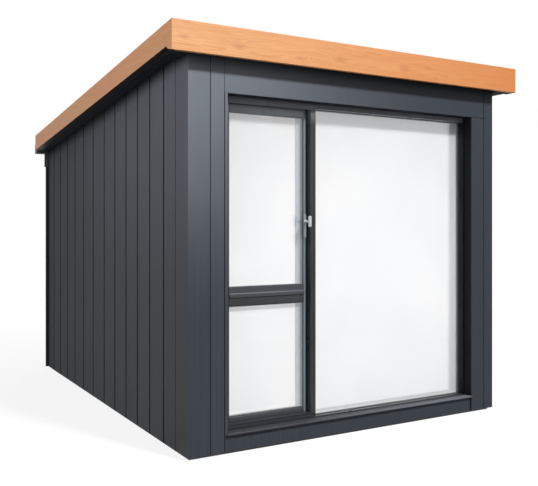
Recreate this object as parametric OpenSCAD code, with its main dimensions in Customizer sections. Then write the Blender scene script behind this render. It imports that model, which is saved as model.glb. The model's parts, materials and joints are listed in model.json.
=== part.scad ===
// Portable site office: a timber-fascia cabin with a glazed front
// Units are millimetres, +X to the right along the front, +Y to the rear, +Z up.
// The origin is at the middle of the footprint, on the ground.

/* [Cabin] */
// Width over the outer faces of the side boards
cabin_w = 2500; // [2300:10:2900]
// Depth from the front boards to the rear boards
cabin_d = 3330; // [3000:10:3800]
// Thickness of the outer boards
clad_t = 22; // [18:1:30]
// Thickness of the insulated wall behind the boards
wall_t = 120; // [100:5:160]
// Height of the base rails
base_h = 100; // [90:5:140]
// Width of a base rail
base_w = 80; // [60:5:110]
// How far the sill board stands back from the front boards
sill_set = 12; // [6:1:16]
// Thickness of the floor deck
deck_t = 18; // [15:1:25]
// Gap between the ground and the bottom of the boards
board_lift = 17; // [10:1:30]

/* [Side boards] */
// Width of the groove between two boards
groove_w = 12; // [6:1:18]
// Depth of the groove between two boards
groove_d = 9; // [5:1:12]
// Pitch of the boards on the rear wall
rear_pitch = 245; // [180:5:300]

/* [Front boards] */
// Face width of the front left corner post
left_post_w = 145; // [120:1:170]
// Face width of the front right corner post
right_post_w = 88; // [70:1:120]
// Length of a corner post along the side
post_return = 164; // [140:1:190]
// Width of the board between the left post and the opening
left_jamb_w = 84; // [70:1:100]
// How far the left jamb board covers the edge of the window frame
jamb_lap = 6; // [0:1:15]
// Width of the board between the opening and the right post
right_jamb_w = 124; // [100:1:150]
// Shadow gap between two front boards
board_gap = 4; // [2:1:6]
// Shadow gap between the left jamb board and the sill board
sill_joint = 9; // [4:1:15]
// Thickness of the sill board
sill_board_t = 22; // [18:1:26]

/* [Glazed front] */
// Height of the underside of the head board
head_z = 2190; // [2150:5:2230]
// Depth of the reveal in front of the frame
reveal_d = 70; // [50:1:80]
// Face width of the frame beside the door bay
frame_w = 72; // [60:1:80]
// Face height of the frame over the door bay
frame_head_h = 44; // [40:1:60]
// Face height of the frame under the door bay
frame_sill_h = 44; // [30:1:50]
// Face width of the frame beside the fixed pane
fix_frame_w = 18; // [14:1:40]
// Face height of the frame over the fixed pane
fix_head_h = 32; // [24:1:40]
// Face height of the frame under the fixed pane
fix_sill_h = 12; // [10:1:26]
// Depth of the lip that the leaf closes behind
lip_d = 40; // [34:1:46]
// How far the leaf reaches behind the lip
lip_over = 12; // [8:1:16]
// Face width of the mullion
mullion_w = 38; // [34:1:60]
// Clear width between the lips of the door bay
door_clear_w = 603; // [560:1:760]
// Thickness of the glazing
glass_t = 14; // [10:1:16]
// Distance from the fixed glazing to the inner face of its frame
glass_set = 12; // [10:1:14]
// Height of the threshold plate
plate_h = 8; // [5:1:10]
// How far the threshold plate stands out of the front boards
plate_nose = 10; // [6:1:20]
// Distance from the threshold plate to the left jamb board
plate_inset = 30; // [2:1:36]
// Thickness of a blind
blind_t = 3; // [2:1:4]
// Distance from a blind to the inner face of its frame
blind_set = 4; // [3:1:5]
// Strip of glass that the door blinds leave free beside the closing stile
blind_free = 44; // [0:1:70]

/* [Door leaf] */
// Thickness of the leaf
leaf_t = 44; // [40:1:56]
// Clear gap round the leaf
leaf_gap = 6; // [5:1:8]
// Width of a leaf stile
stile_w = 38; // [34:1:60]
// Height of the top rail
top_rail_h = 60; // [50:1:80]
// Height of the bottom rail
bottom_rail_h = 46; // [40:1:120]
// Height of the middle rail
mid_rail_h = 119; // [100:1:150]
// Height of the middle of the middle rail above the ground
mid_rail_z = 943; // [850:1:1050]
// Height of the middle of the handle grip above the ground
handle_z = 1415; // [1100:5:1500]
// Length of the handle grip
grip_h = 72; // [60:1:120]
// How far the handle stands off the leaf
handle_out = 88; // [60:1:90]

/* [Hinges] */
// Diameter of a hinge knuckle
knuckle_d = 14; // [12:1:16]
// Length of one half of a hinge
knuckle_h = 45; // [30:1:60]
// Diameter of the hinge pin
pin_d = 7; // [5:1:8]
// Distance of the top and bottom hinges from the ends of the leaf
hinge_end = 220; // [150:5:300]

/* [Roof] */
// Height from the head board's underside to the top of the front fascia
head_cover = 377; // [350:1:420]
// Fall of the roof per millimetre of depth
roof_fall = 0.0967; // [0.08:0.0001:0.1]
// How far the roof stands out at the front
front_over = 96; // [70:1:140]
// How far the roof stands out at each side
side_over = 143; // [120:1:180]
// Height of the front fascia
front_fascia_h = 179; // [165:1:200]
// Height of the side fascias
side_fascia_h = 140; // [136:1:150]
// Thickness of a fascia board
fascia_t = 28; // [22:1:34]
// Length of the front fascia's return along the side
fascia_return = 87; // [60:1:120]
// Distance of the rear end of a side fascia from the rear boards
fascia_short = 85; // [60:1:120]
// Thickness of the insulated roof deck
roof_t = 100; // [90:1:104]
// Thickness of the roof membrane
membrane_t = 4; // [2:1:6]
// How far the membrane lies below the top of the fascia
roof_rebate = 10; // [6:1:14]
// Thickness of the soffit boards
soffit_t = 12; // [9:1:14]
// Clearance between the sloping deck and what it lies on
roof_gap = 0.3; // [0.2:0.1:0.6]

/* [Rear eave] */
// Thickness of the rear fascia
rear_fascia_t = 18; // [15:1:24]
// Height of the rear fascia
rear_fascia_h = 266; // [220:1:300]
// Width of the gutter
gutter_w = 70; // [60:1:100]
// Height of the gutter
gutter_h = 85; // [70:1:90]
// Thickness of the gutter metal
gutter_t = 4; // [3:1:6]
// Drop from the top of the rear fascia to the gutter's rim
gutter_drop = 53; // [40:1:80]
// Distance of the gutter's end from the side fascia's outer face
gutter_end = 36; // [30:1:60]
// How far the rear fascia stands out of the rear corner strips
rear_fascia_out = 12; // [6:1:20]
// How far the rear corner strips stand out of the side boards
strip_out = 22; // [12:1:30]
// Width of a rear corner strip across the rear
strip_w = 90; // [60:1:120]
// Thickness of a rear corner strip
strip_t = 20; // [14:1:24]

/* [Hidden] */
$fn = 48;

// Widths of the side boards behind the front post, from front to rear;
// the board after the last of them takes what is left
side_boards = [195, 240, 230, 235, 245, 255, 285, 270, 255, 240, 240, 235];

// How far a cutting shape reaches past what it cuts
past = 1;

// Floor and wall
deck_z = base_h + deck_t;
sill_back = sill_set + sill_board_t;
wall_in = clad_t + wall_t;

// Glazed front: the door bay is on the left, the fixed pane on the right
lip_back = reveal_d + lip_d;
open_x0 = left_post_w + board_gap + left_jamb_w;
open_x1 = cabin_w - right_post_w - board_gap - right_jamb_w;
jamb_edge = open_x0 + jamb_lap;
bay_x0 = open_x0 + frame_w;
bay_x1 = bay_x0 + door_clear_w;
fix_x0 = bay_x1 + mullion_w;
fix_x1 = open_x1 - fix_frame_w;
bay_z0 = deck_z + frame_sill_h;
bay_z1 = head_z - frame_head_h;
fix_z0 = deck_z + fix_sill_h;
fix_z1 = head_z - fix_head_h;

// Leaf: it closes behind the lip, and the free side has more room to swing
leaf_y = lip_back + leaf_gap;
leaf_back = leaf_y + leaf_t;
leaf_x0 = bay_x0 - lip_over;
leaf_x1 = bay_x1 + lip_over;
leaf_z0 = bay_z0 - lip_over;
leaf_z1 = bay_z1 + lip_over;
swing_x = leaf_x1 + leaf_gap + 2;
low_z = leaf_z0 - leaf_gap;
high_z = leaf_z1 + leaf_gap;
glass_in = 8;
mid_z0 = mid_rail_z - mid_rail_h / 2;
mid_z1 = mid_rail_z + mid_rail_h / 2;
pane_x0 = leaf_x0 + stile_w;
pane_x1 = leaf_x1 - stile_w;
low_pane_z = leaf_z0 + bottom_rail_h;
high_pane_z = leaf_z1 - top_rail_h;

// Hinges
axis_x = leaf_x0 - 2;
axis_y = leaf_back + knuckle_d / 2;
hinge_zs = [leaf_z0 + hinge_end, (leaf_z0 + leaf_z1) / 2, leaf_z1 - hinge_end];
hinge_leaf_t = 3;
hinge_leaf_w = 30;
pin_gap = 0.1;
pin_end_gap = 4;
stack_gap = 0.5;

// Handle: the grip stands a little towards the hinges, so that it swings past the mullion
backplate_w = 18;
backplate_h = 158;
backplate_t = 8;
backplate_drop = 30;
stem_d = 13;
grip_w = 20;
grip_t = 16;
grip_shift = 10;
handle_x = pane_x1 + 6;
grip_x = handle_x - grip_shift;
backplate_z = handle_z - backplate_drop;

// Roof: all sloping faces are offsets from the line of the fascia's top
roof_top = head_z + head_cover;
function roof_z(y) = roof_top - roof_fall * (y + front_over);
membrane_low = -roof_rebate - membrane_t;
deck_low = membrane_low - roof_t;
seat = deck_low - roof_gap;
roof_x0 = -side_over + fascia_t;
roof_x1 = cabin_w - roof_x0;
roof_y0 = -front_over + fascia_t;
return_y = -front_over + fascia_return;

// Rear eave
eave_z = roof_z(cabin_d) + membrane_low;
gutter_top = eave_z - gutter_drop;
gutter_x = -side_over + gutter_end;
gutter_y = cabin_d + rear_fascia_t;
rear_y = gutter_y + gutter_w;

side_y = clad_t + post_return;

// The middle of the footprint goes to the origin
module place() {
  translate([-cabin_w / 2, (front_over - rear_y) / 2, 0]) children();
}

// A block from its lowest corner to its highest corner
module box(low, high) {
  translate(low) cube(high - low);
}

// The sloping prism between two lines that lie at the offsets low and high from the roof line
module along_roof(x0, x1, y0, y1, low, high) {
  translate([x0, 0, 0]) rotate([90, 0, 90]) linear_extrude(height = x1 - x0)
    polygon([[y0, roof_z(y0) + low], [y1, roof_z(y1) + low],
      [y1, roof_z(y1) + high], [y0, roof_z(y0) + high]]);
}

// A wall or board that stands at z0 and ends under the roof
module under_roof(x0, x1, y0, y1, z0) {
  translate([x0, 0, 0]) rotate([90, 0, 90]) linear_extrude(height = x1 - x0)
    polygon([[y0, z0], [y1, z0], [y1, roof_z(y1) + seat], [y0, roof_z(y0) + seat]]);
}

// Base: a ring of four rails, the end rails run through
module base_end_rails() {
  color("#3a3d40") place() for (y = [sill_back, cabin_d - clad_t - base_w])
    box([clad_t, y, 0], [cabin_w - clad_t, y + base_w, base_h]);
}

module base_side_rails() {
  color("#3a3d40") place() for (x = [clad_t, cabin_w - clad_t - base_w])
    box([x, sill_back + base_w, 0], [x + base_w, cabin_d - clad_t - base_w, base_h]);
}

// The floor panel fills the ring, clear of the ground
module floor_panel() {
  color("#8a8f94") place()
    box([clad_t + base_w, sill_back + base_w, board_lift],
      [cabin_w - clad_t - base_w, cabin_d - clad_t - base_w, base_h]);
}

module floor_deck() {
  color("#a8a49c") place()
    box([clad_t, sill_back, base_h], [cabin_w - clad_t, cabin_d - clad_t, deck_z]);
}

// Walls: the front wall is split beside and over the glazed opening
module side_wall(x) {
  color("#d9dadb") place() under_roof(x, x + wall_t, clad_t, cabin_d - clad_t, deck_z);
}

module left_wall() {
  side_wall(clad_t);
}

module right_wall() {
  side_wall(cabin_w - wall_in);
}

module rear_wall() {
  color("#d9dadb") place()
    under_roof(wall_in, cabin_w - wall_in, cabin_d - wall_in, cabin_d - clad_t, deck_z);
}

module front_piers() {
  color("#d9dadb") place() {
    under_roof(wall_in, open_x0, clad_t, wall_in, deck_z);
    under_roof(open_x1, cabin_w - wall_in, clad_t, wall_in, deck_z);
  }
}

module front_lintel() {
  color("#d9dadb") place() under_roof(open_x0, open_x1, clad_t, wall_in, head_z);
}

// Side boards: one sheet with a groove at each joint
module groove(x, y, low_half = 1) {
  translate([x, y - low_half * groove_w / 2, 0])
    cube([groove_d + past, (1 + low_half) * groove_w / 2, roof_top]);
}

module side_grooves(x, from = 0, y = side_y) {
  if (from < len(side_boards)) {
    next = y + side_boards[from];
    if (next < cabin_d - clad_t - strip_w) {
      groove(x, next);
      side_grooves(x, from + 1, next);
    }
  }
}

module side_cladding(x, cut_x) {
  color("#4b4e51") place() difference() {
    under_roof(x, x + clad_t, side_y, cabin_d - clad_t, board_lift);
    groove(cut_x, side_y);
    side_grooves(cut_x);
  }
}

module left_cladding() {
  side_cladding(0, -past);
}

module right_cladding() {
  side_cladding(cabin_w - clad_t, cabin_w - groove_d);
}

module rear_cladding() {
  color("#4b4e51") place() difference() {
    under_roof(0, cabin_w, cabin_d - clad_t, cabin_d, board_lift);
    for (x = [rear_pitch : rear_pitch : cabin_w - rear_pitch / 2])
      translate([x - groove_w / 2, cabin_d - groove_d, 0]) cube([groove_w, groove_d + past, roof_top]);
  }
}

// Corner posts: a front face and a return along the side
module corner_post(face_x0, face_x1, return_x) {
  color("#565a60") place() union() {
    under_roof(face_x0, face_x1, 0, clad_t, board_lift);
    under_roof(return_x, return_x + clad_t, clad_t, side_y, board_lift);
  }
}

module front_left_post() {
  corner_post(0, left_post_w, 0);
}

module front_right_post() {
  corner_post(cabin_w - right_post_w, cabin_w, cabin_w - clad_t);
}

// Plain boards of the front
module front_left_jamb_board() {
  color("#5a626b") place() under_roof(left_post_w + board_gap, jamb_edge, 0, clad_t, board_lift);
}

module front_right_jamb_board() {
  color("#5a626b") place()
    box([open_x1, 0, board_lift], [open_x1 + right_jamb_w, clad_t, head_z - board_gap / 2]);
}

module front_head_board() {
  color("#5a626b") place() under_roof(jamb_edge + board_gap / 2, open_x1 + right_jamb_w, 0, clad_t, head_z);
}

module front_sill_board() {
  color("#4a4e54") place()
    box([jamb_edge + sill_joint, sill_set, board_lift], [open_x1 - board_gap, sill_back, deck_z]);
}

module rear_corner_strips() {
  color("#2f3236") place() for (x = [-strip_out, cabin_w + strip_out - strip_w])
    box([x, cabin_d, board_lift], [x + strip_w, cabin_d + strip_t, eave_z - rear_fascia_h]);
}

// Frame of the glazed front: round the door bay it has a front lip and a narrower rear part
module frame_left_jamb() {
  color("#4c5158") place() difference() {
    box([open_x0, reveal_d, deck_z], [bay_x0, wall_in, head_z]);
    box([leaf_x0 - leaf_gap, lip_back, low_z], [bay_x0 + past, wall_in + past, high_z]);
  }
}

module frame_right_jamb() {
  color("#4c5158") place() box([fix_x1, reveal_d, deck_z], [open_x1, wall_in, head_z]);
}

module frame_mullion() {
  color("#4c5158") place() difference() {
    box([bay_x1, reveal_d, bay_z0], [fix_x0, wall_in, bay_z1]);
    box([bay_x1 - past, lip_back, bay_z0 - past], [swing_x, wall_in + past, bay_z1 + past]);
  }
}

module frame_head() {
  color("#4c5158") place() difference() {
    union() {
      box([bay_x0, reveal_d, bay_z1], [fix_x0, wall_in, head_z]);
      box([fix_x0 - past, reveal_d, fix_z1], [fix_x1, wall_in, head_z]);
    }
    box([bay_x0 - past, lip_back, bay_z1 - past], [swing_x, wall_in + past, high_z]);
  }
}

module frame_sill() {
  color("#4c5158") place() difference() {
    union() {
      box([bay_x0, reveal_d, deck_z], [fix_x0, wall_in, bay_z0]);
      box([fix_x0 - past, reveal_d, deck_z], [fix_x1, wall_in, fix_z0]);
    }
    box([bay_x0 - past, lip_back, low_z], [swing_x, wall_in + past, bay_z0 + past]);
  }
}

module threshold_plate() {
  color("#6b7076") place()
    box([open_x0 + plate_inset, -plate_nose, deck_z],
      [open_x1 - board_gap / 2, reveal_d, deck_z + plate_h]);
}

module fixed_glass() {
  color("#dfe9ee") place()
    box([fix_x0, wall_in - glass_set - glass_t, fix_z0], [fix_x1, wall_in - glass_set, fix_z1]);
}

module fixed_blind() {
  color("#f2f5f7") place()
    box([fix_x0, wall_in - blind_set - blind_t, fix_z0], [fix_x1, wall_in - blind_set, fix_z1]);
}

// Door leaf
module leaf_part(x0, x1, z0, z1) {
  color("#454a50") place() box([x0, leaf_y, z0], [x1, leaf_back, z1]);
}

module door_left_stile() {
  leaf_part(leaf_x0, pane_x0, leaf_z0, leaf_z1);
}

module door_right_stile() {
  leaf_part(pane_x1, leaf_x1, leaf_z0, leaf_z1);
}

module door_top_rail() {
  leaf_part(pane_x0, pane_x1, high_pane_z, leaf_z1);
}

module door_mid_rail() {
  leaf_part(pane_x0, pane_x1, mid_z0, mid_z1);
}

module door_bottom_rail() {
  leaf_part(pane_x0, pane_x1, leaf_z0, low_pane_z);
}

module leaf_panes(y, t, free = 0) {
  box([pane_x0, y, low_pane_z], [pane_x1 - free, y + t, mid_z0]);
  box([pane_x0, y, mid_z1], [pane_x1 - free, y + t, high_pane_z]);
}

module door_glass() {
  color("#dfe9ee") place() leaf_panes(leaf_y + glass_in, glass_t);
}

module door_blinds() {
  color("#f2f5f7") place() leaf_panes(leaf_back - blind_set - blind_t, blind_t, blind_free);
}

module door_handle() {
  color("#e4e5e4") place() union() {
    box([handle_x - backplate_w / 2, leaf_y - backplate_t, backplate_z - backplate_h / 2],
      [handle_x + backplate_w / 2, leaf_y, backplate_z + backplate_h / 2]);
    translate([handle_x, leaf_y - backplate_t, handle_z]) rotate([90, 0, 0])
      cylinder(d = stem_d, h = handle_out - backplate_t - grip_t);
    box([grip_x - grip_w / 2, leaf_y - handle_out, handle_z - grip_h / 2],
      [grip_x + grip_w / 2, leaf_y - handle_out + grip_t, handle_z + grip_h / 2]);
  }
}

// Lift-off hinges: the lower half with its pin is on the frame, the upper half on the leaf
module door_hinges() {
  color("#c3c6c9") place() for (z = hinge_zs) difference() {
    union() {
      translate([axis_x, axis_y, z + stack_gap]) cylinder(d = knuckle_d, h = knuckle_h);
      box([axis_x, leaf_back, z + stack_gap],
        [leaf_x0 + hinge_leaf_w, leaf_back + hinge_leaf_t, z + stack_gap + knuckle_h]);
    }
    translate([axis_x, axis_y, z - past]) cylinder(d = pin_d + 2 * pin_gap, h = knuckle_h - pin_end_gap);
  }
}

module frame_hinges() {
  color("#c3c6c9") place() for (z = hinge_zs) union() {
    translate([axis_x, axis_y, z - knuckle_h]) cylinder(d = knuckle_d, h = knuckle_h);
    translate([axis_x, axis_y, z - past]) cylinder(d = pin_d, h = knuckle_h - 2 * pin_end_gap);
    box([axis_x - hinge_leaf_w, wall_in, z - knuckle_h], [axis_x, axis_y, z]);
  }
}

// Roof
module roof_deck() {
  color("#c9cbcc") place() along_roof(roof_x0, roof_x1, roof_y0, cabin_d, deck_low, membrane_low);
}

module roof_membrane() {
  color("#2b2d30") place() along_roof(roof_x0, roof_x1, roof_y0, cabin_d, membrane_low, -roof_rebate);
}

module fascia_end(x) {
  translate([x, 0, 0]) rotate([90, 0, 90]) linear_extrude(height = fascia_t)
    polygon([[roof_y0, roof_top - front_fascia_h], [return_y, roof_top - front_fascia_h],
      [return_y, roof_z(return_y)], [roof_y0, roof_z(roof_y0)]]);
}

module front_fascia() {
  color("#e09a62") place() union() {
    box([-side_over, -front_over, roof_top - front_fascia_h], [cabin_w + side_over, roof_y0, roof_top]);
    fascia_end(-side_over);
    fascia_end(roof_x1);
  }
}

module side_fascias() {
  color("#d08a56") place() for (x = [-side_over, roof_x1])
    along_roof(x, x + fascia_t, return_y, cabin_d - fascia_short, -side_fascia_h, 0);
}

module front_soffit() {
  color("#3a2a22") place() along_roof(roof_x0, roof_x1, roof_y0, 0, seat - soffit_t, seat);
}

module side_soffits() {
  color("#2a2522") place() {
    along_roof(roof_x0, 0, 0, cabin_d, seat - soffit_t, seat);
    along_roof(cabin_w, roof_x1, 0, cabin_d, seat - soffit_t, seat);
  }
}

// Rear eave
module rear_fascia() {
  reach = strip_out + rear_fascia_out;
  color("#3f4347") place()
    box([-reach, cabin_d, eave_z - rear_fascia_h], [cabin_w + reach, gutter_y, eave_z]);
}

module rear_gutter() {
  color("#5a5f64") place() difference() {
    box([gutter_x, gutter_y, gutter_top - gutter_h], [cabin_w - gutter_x, rear_y, gutter_top]);
    box([gutter_x + gutter_t, gutter_y + gutter_t, gutter_top - gutter_h + gutter_t],
      [cabin_w - gutter_x - gutter_t, rear_y - gutter_t, gutter_top + past]);
  }
}

base_end_rails();
base_side_rails();
floor_panel();
floor_deck();
left_wall();
right_wall();
rear_wall();
front_piers();
front_lintel();
left_cladding();
right_cladding();
rear_cladding();
front_left_post();
front_right_post();
front_left_jamb_board();
front_right_jamb_board();
front_head_board();
front_sill_board();
rear_corner_strips();
frame_left_jamb();
frame_right_jamb();
frame_head();
frame_sill();
frame_mullion();
threshold_plate();
fixed_glass();
fixed_blind();
frame_hinges();
door_left_stile();
door_right_stile();
door_top_rail();
door_mid_rail();
door_bottom_rail();
door_glass();
door_blinds();
door_handle();
door_hinges();
roof_deck();
roof_membrane();
front_fascia();
side_fascias();
front_soffit();
side_soffits();
rear_fascia();
rear_gutter();
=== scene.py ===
# %% [markdown]
# # A portable site office
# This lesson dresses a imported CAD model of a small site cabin: dark painted boards, a
# glazed front with a door, pine fascia boards round a roof that falls to the rear, and a
# gutter behind.
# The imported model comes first, because every piece takes its place from it. All lengths are
# in metres, +X runs to the right along the front, +Y to the rear and +Z up.

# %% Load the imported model
import json
import math

import bpy
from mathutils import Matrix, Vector


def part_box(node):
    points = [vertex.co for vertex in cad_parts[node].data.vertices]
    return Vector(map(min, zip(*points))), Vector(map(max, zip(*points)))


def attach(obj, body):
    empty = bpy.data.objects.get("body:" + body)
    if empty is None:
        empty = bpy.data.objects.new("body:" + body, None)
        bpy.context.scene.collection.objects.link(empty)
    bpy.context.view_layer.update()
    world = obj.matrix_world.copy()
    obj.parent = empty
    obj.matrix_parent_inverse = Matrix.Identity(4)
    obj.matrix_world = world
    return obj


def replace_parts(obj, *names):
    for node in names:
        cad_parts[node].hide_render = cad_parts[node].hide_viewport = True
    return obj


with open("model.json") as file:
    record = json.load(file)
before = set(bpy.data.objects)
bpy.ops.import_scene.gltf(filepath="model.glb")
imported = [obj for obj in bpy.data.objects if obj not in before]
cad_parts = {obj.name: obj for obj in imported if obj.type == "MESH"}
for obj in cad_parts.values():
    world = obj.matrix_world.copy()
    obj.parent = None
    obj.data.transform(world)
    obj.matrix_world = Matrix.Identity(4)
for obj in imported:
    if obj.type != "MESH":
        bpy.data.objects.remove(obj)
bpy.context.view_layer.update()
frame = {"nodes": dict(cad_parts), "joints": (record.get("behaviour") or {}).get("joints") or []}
nodes = frame["nodes"]

# %% [markdown]
# The camera stands at the height of a person's chest, to the left of the front. It is held
# level, so that upright edges stay upright. A small lens shift takes the place of a tilt.

# %% Camera
CAMERA_PLACE = (-3.032, -5.6775, 1.3939)
CAMERA_TURN = 30.138
LENS = 49.84
SENSOR_WIDTH = 36
HORIZON_SHIFT = -0.03397

held_level = (math.radians(90), 0, -math.radians(CAMERA_TURN))
bpy.ops.object.camera_add(location=CAMERA_PLACE, rotation=held_level)
camera = bpy.context.object
camera.data.lens = LENS
camera.data.sensor_width = SENSOR_WIDTH
camera.data.shift_y = HORIZON_SHIFT
bpy.context.scene.camera = camera
print("camera turned", CAMERA_TURN, "degrees from the front")

# %% [markdown]
# The scene starts with all CAD nodes selected, and an operator acts on everything that is
# selected. So each tool below clears the selection first. A block is a cube placed at two
# corners, with its place applied, so that the object itself stays at the origin and a
# pattern on Object coordinates is the same on every piece. A rod is a cone or a cylinder
# between two points.

# %% Blocks and rods
MM = 0.001
NEAR = 1e-4  # places closer than this count as the same


def deselect():
    if bpy.context.object and bpy.context.object.mode != "OBJECT":
        bpy.ops.object.mode_set(mode="OBJECT")
    bpy.ops.object.select_all(action="DESELECT")


def activate(obj):
    deselect()
    obj.select_set(True)
    bpy.context.view_layer.objects.active = obj


def placed(name):
    """Names the new primitive and moves its place into its mesh."""
    made = bpy.context.object
    made.name = made.data.name = name
    bpy.ops.object.transform_apply(location=True, rotation=True, scale=True)
    return made


def block(name, low, high):
    deselect()
    low, high = Vector(low), Vector(high)
    bpy.ops.mesh.primitive_cube_add(size=1, location=(low + high) / 2, scale=high - low)
    return placed(name)


def rod(name, start, end, radius, sides=24, radius_end=None):
    deselect()
    start, end = Vector(start), Vector(end)
    line = end - start
    turn = line.to_track_quat("Z", "Y").to_euler()
    bpy.ops.mesh.primitive_cone_add(vertices=sides, radius1=radius, depth=line.length,
        radius2=radius if radius_end is None else radius_end,
        location=(start + end) / 2, rotation=turn)
    return placed(name)


print("one unit is a metre, and MM is", MM)

# %% [markdown]
# Shaping works as by hand: faces or edges are picked by their place or direction, and an
# operator changes them. A cut takes away what is past a plane, a score only marks a line
# for the next step, and a push extrudes. Sharp arrises don't exist on real boards and
# folded metal, so nearly every piece ends with eased edges, which catch the light.

# %% Shaping tools
def pick(obj, test, edges=False):
    """Goes to edit mode with the faces, or edges, selected whose middle passes the test."""
    activate(obj)
    bpy.ops.object.mode_set(mode="EDIT")
    bpy.ops.mesh.select_mode(type="EDGE" if edges else "FACE")
    bpy.ops.mesh.select_all(action="DESELECT")
    bpy.ops.object.mode_set(mode="OBJECT")
    points = obj.data.vertices
    for item in (obj.data.edges if edges else obj.data.polygons):
        middle = sum((points[v].co for v in item.vertices), Vector()) / len(item.vertices)
        if edges:
            a, b = (points[v].co for v in item.vertices)
            item.select = test(middle, (b - a).normalized())
        else:
            item.select = test(middle, item.normal)
    bpy.ops.object.mode_set(mode="EDIT")


def cut(obj, place, normal, clear=True):
    """Bisects all of a piece with a plane, and takes away what is on the normal's side."""
    activate(obj)
    bpy.ops.object.mode_set(mode="EDIT")
    bpy.ops.mesh.select_mode(type="FACE")
    bpy.ops.mesh.select_all(action="SELECT")
    bpy.ops.mesh.bisect(plane_co=place, plane_no=normal, use_fill=clear, clear_outer=clear)
    bpy.ops.object.mode_set(mode="OBJECT")
    return obj


def score(obj, axis, at):
    """Marks a line round a piece at a place along an axis (0, 1 or 2)."""
    place, normal = [0, 0, 0], [0, 0, 0]
    place[axis], normal[axis] = at, 1
    return cut(obj, place, normal, clear=False)


def push(obj, test, move):
    """Extrudes the faces that pass the test by a move."""
    pick(obj, test)
    bpy.ops.mesh.extrude_region_move(TRANSFORM_OT_translate={"value": move})
    bpy.ops.object.mode_set(mode="OBJECT")
    return obj


def ease(obj, width, segments=2, angle=35):
    """Rounds the edges, as sanding or a folding machine leaves them."""
    activate(obj)
    bevel = obj.modifiers.new("ease", "BEVEL")
    bevel.width = width
    bevel.segments = segments
    bevel.limit_method = "ANGLE"
    bevel.angle_limit = math.radians(angle)
    bevel.harden_normals = False
    bpy.ops.object.modifier_apply(modifier="ease")
    bpy.ops.object.shade_smooth_by_angle(angle=math.radians(angle))
    return obj


print("shaping tools: pick, cut, score, push and ease")

# %% [markdown]
# A finished piece gets its finish and the body that it moves with. Where the CAD solid has
# the right shape it stays, and is only repainted.

# %% Finishing tools
def join(name, parts):
    deselect()
    for part in parts:
        part.select_set(True)
    bpy.context.view_layer.objects.active = parts[0]
    bpy.ops.object.join()
    made = bpy.context.object
    made.name = made.data.name = name
    return made


def tone(obj, value):
    """Gives a piece its own number from 0 to 1, which its paint reads as a change of shade."""
    numbers = obj.data.attributes.new("tone", "FLOAT", "POINT")
    numbers.data.foreach_set("value", [value] * len(obj.data.vertices))
    return obj


def keep(obj, body, slot, material, *replaced):
    """Evens the shading of the flat faces, and gives the piece its finish and body. The slot is not
    used.
    """
    activate(obj)
    even = obj.modifiers.new("even", "WEIGHTED_NORMAL")
    even.weight, even.keep_sharp = 100, True
    bpy.ops.object.modifier_apply(modifier="even")
    repaint(material, obj)
    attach(obj, body)
    if replaced:
        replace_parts(obj, *replaced)
    return obj


def repaint(material, *objects):
    for obj in objects:
        obj.data.materials.clear()
        obj.data.materials.append(material)


def refinish(obj, material, test):
    """Gives the faces that pass the test another finish."""
    obj.data.materials.append(material)
    for face in obj.data.polygons:
        if test(face.center, face.normal):
            face.material_index = 1


print("finishing tools: join, tone, keep, repaint and refinish")

# %% [markdown]
# Colours are written as on a colour picker and turned to linear light by one function. One
# more function adds a node with its settings and its links, so a material reads as a list.
# The others are steps that every finish here takes: noise at a real size, a colour laid over
# another where a value is high, a roughness that follows the noise, and a fine relief.

# %% Colours, nodes and patterns
NOISE_LOW, NOISE_HIGH = 0.3, 0.7  # noise seldom leaves this range


def linear(code):
    """The linear colour of an sRGB hex code."""
    parts = [int(code[i:i + 2], 16) / 255 for i in (1, 3, 5)]
    return tuple(p / 12.92 if p <= 0.04045 else ((p + 0.055) / 1.055) ** 2.4 for p in parts) + (1.0,)


def add(tree, kind, inputs, **settings):
    """Adds a node. An input takes a value, or another node's output as its link."""
    made = tree.nodes.new(kind)
    for name, value in settings.items():
        setattr(made, name, value)
    for key, value in inputs.items():
        if isinstance(value, bpy.types.NodeSocket):
            tree.links.new(value, made.inputs[key])
        else:
            made.inputs[key].default_value = value
    return made


def per_mm(x, y=None, z=None):
    """A mapping scale that makes one unit of pattern as long as the given millimetres."""
    y = x if y is None else y
    z = x if z is None else z
    return (1000 / x, 1000 / y, 1000 / z)


def shader_of(made):
    return next(n for n in made.node_tree.nodes if n.type == "BSDF_PRINCIPLED")


def new_material(name):
    """An empty material, its node tree and its shader."""
    made = bpy.data.materials.new(name)
    made.use_nodes = True
    return made, made.node_tree, shader_of(made)


def pattern(tree, scale, detail=3, rough=0.55, shift=None):
    """Noise at a real size on the piece's own coordinates. A shift gives each board its own."""
    place = add(tree, "ShaderNodeTexCoord", {}).outputs["Object"]
    mapped = add(tree, "ShaderNodeMapping", {"Vector": place, "Scale": scale}).outputs["Vector"]
    inputs = {"Vector": mapped, "Scale": 1.0, "Detail": detail, "Roughness": rough}
    if shift is None:
        return add(tree, "ShaderNodeTexNoise", inputs).outputs["Fac"]
    inputs["W"] = shift
    return add(tree, "ShaderNodeTexNoise", inputs, noise_dimensions="4D").outputs["Fac"]


def lay(tree, colour, code, value, low=NOISE_LOW, high=NOISE_HIGH, most=1.0):
    """Lays a colour over another: none where the value is low, and the most where it is high."""
    share = add(tree, "ShaderNodeMapRange", {"Value": value, "From Min": low, "From Max": high,
        "To Max": most}, clamp=True).outputs["Result"]
    return add(tree, "ShaderNodeMix", {0: share, 6: colour, 7: linear(code)},
        data_type="RGBA").outputs[2]


def roughen(tree, shader, value, smooth, rough):
    """Lets the roughness follow a noise, from smooth where it is low to rough where it is high."""
    made = add(tree, "ShaderNodeMapRange", {"Value": value, "From Min": NOISE_LOW,
        "From Max": NOISE_HIGH, "To Min": smooth, "To Max": rough}, clamp=True)
    tree.links.new(made.outputs["Result"], shader.inputs["Roughness"])


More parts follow.
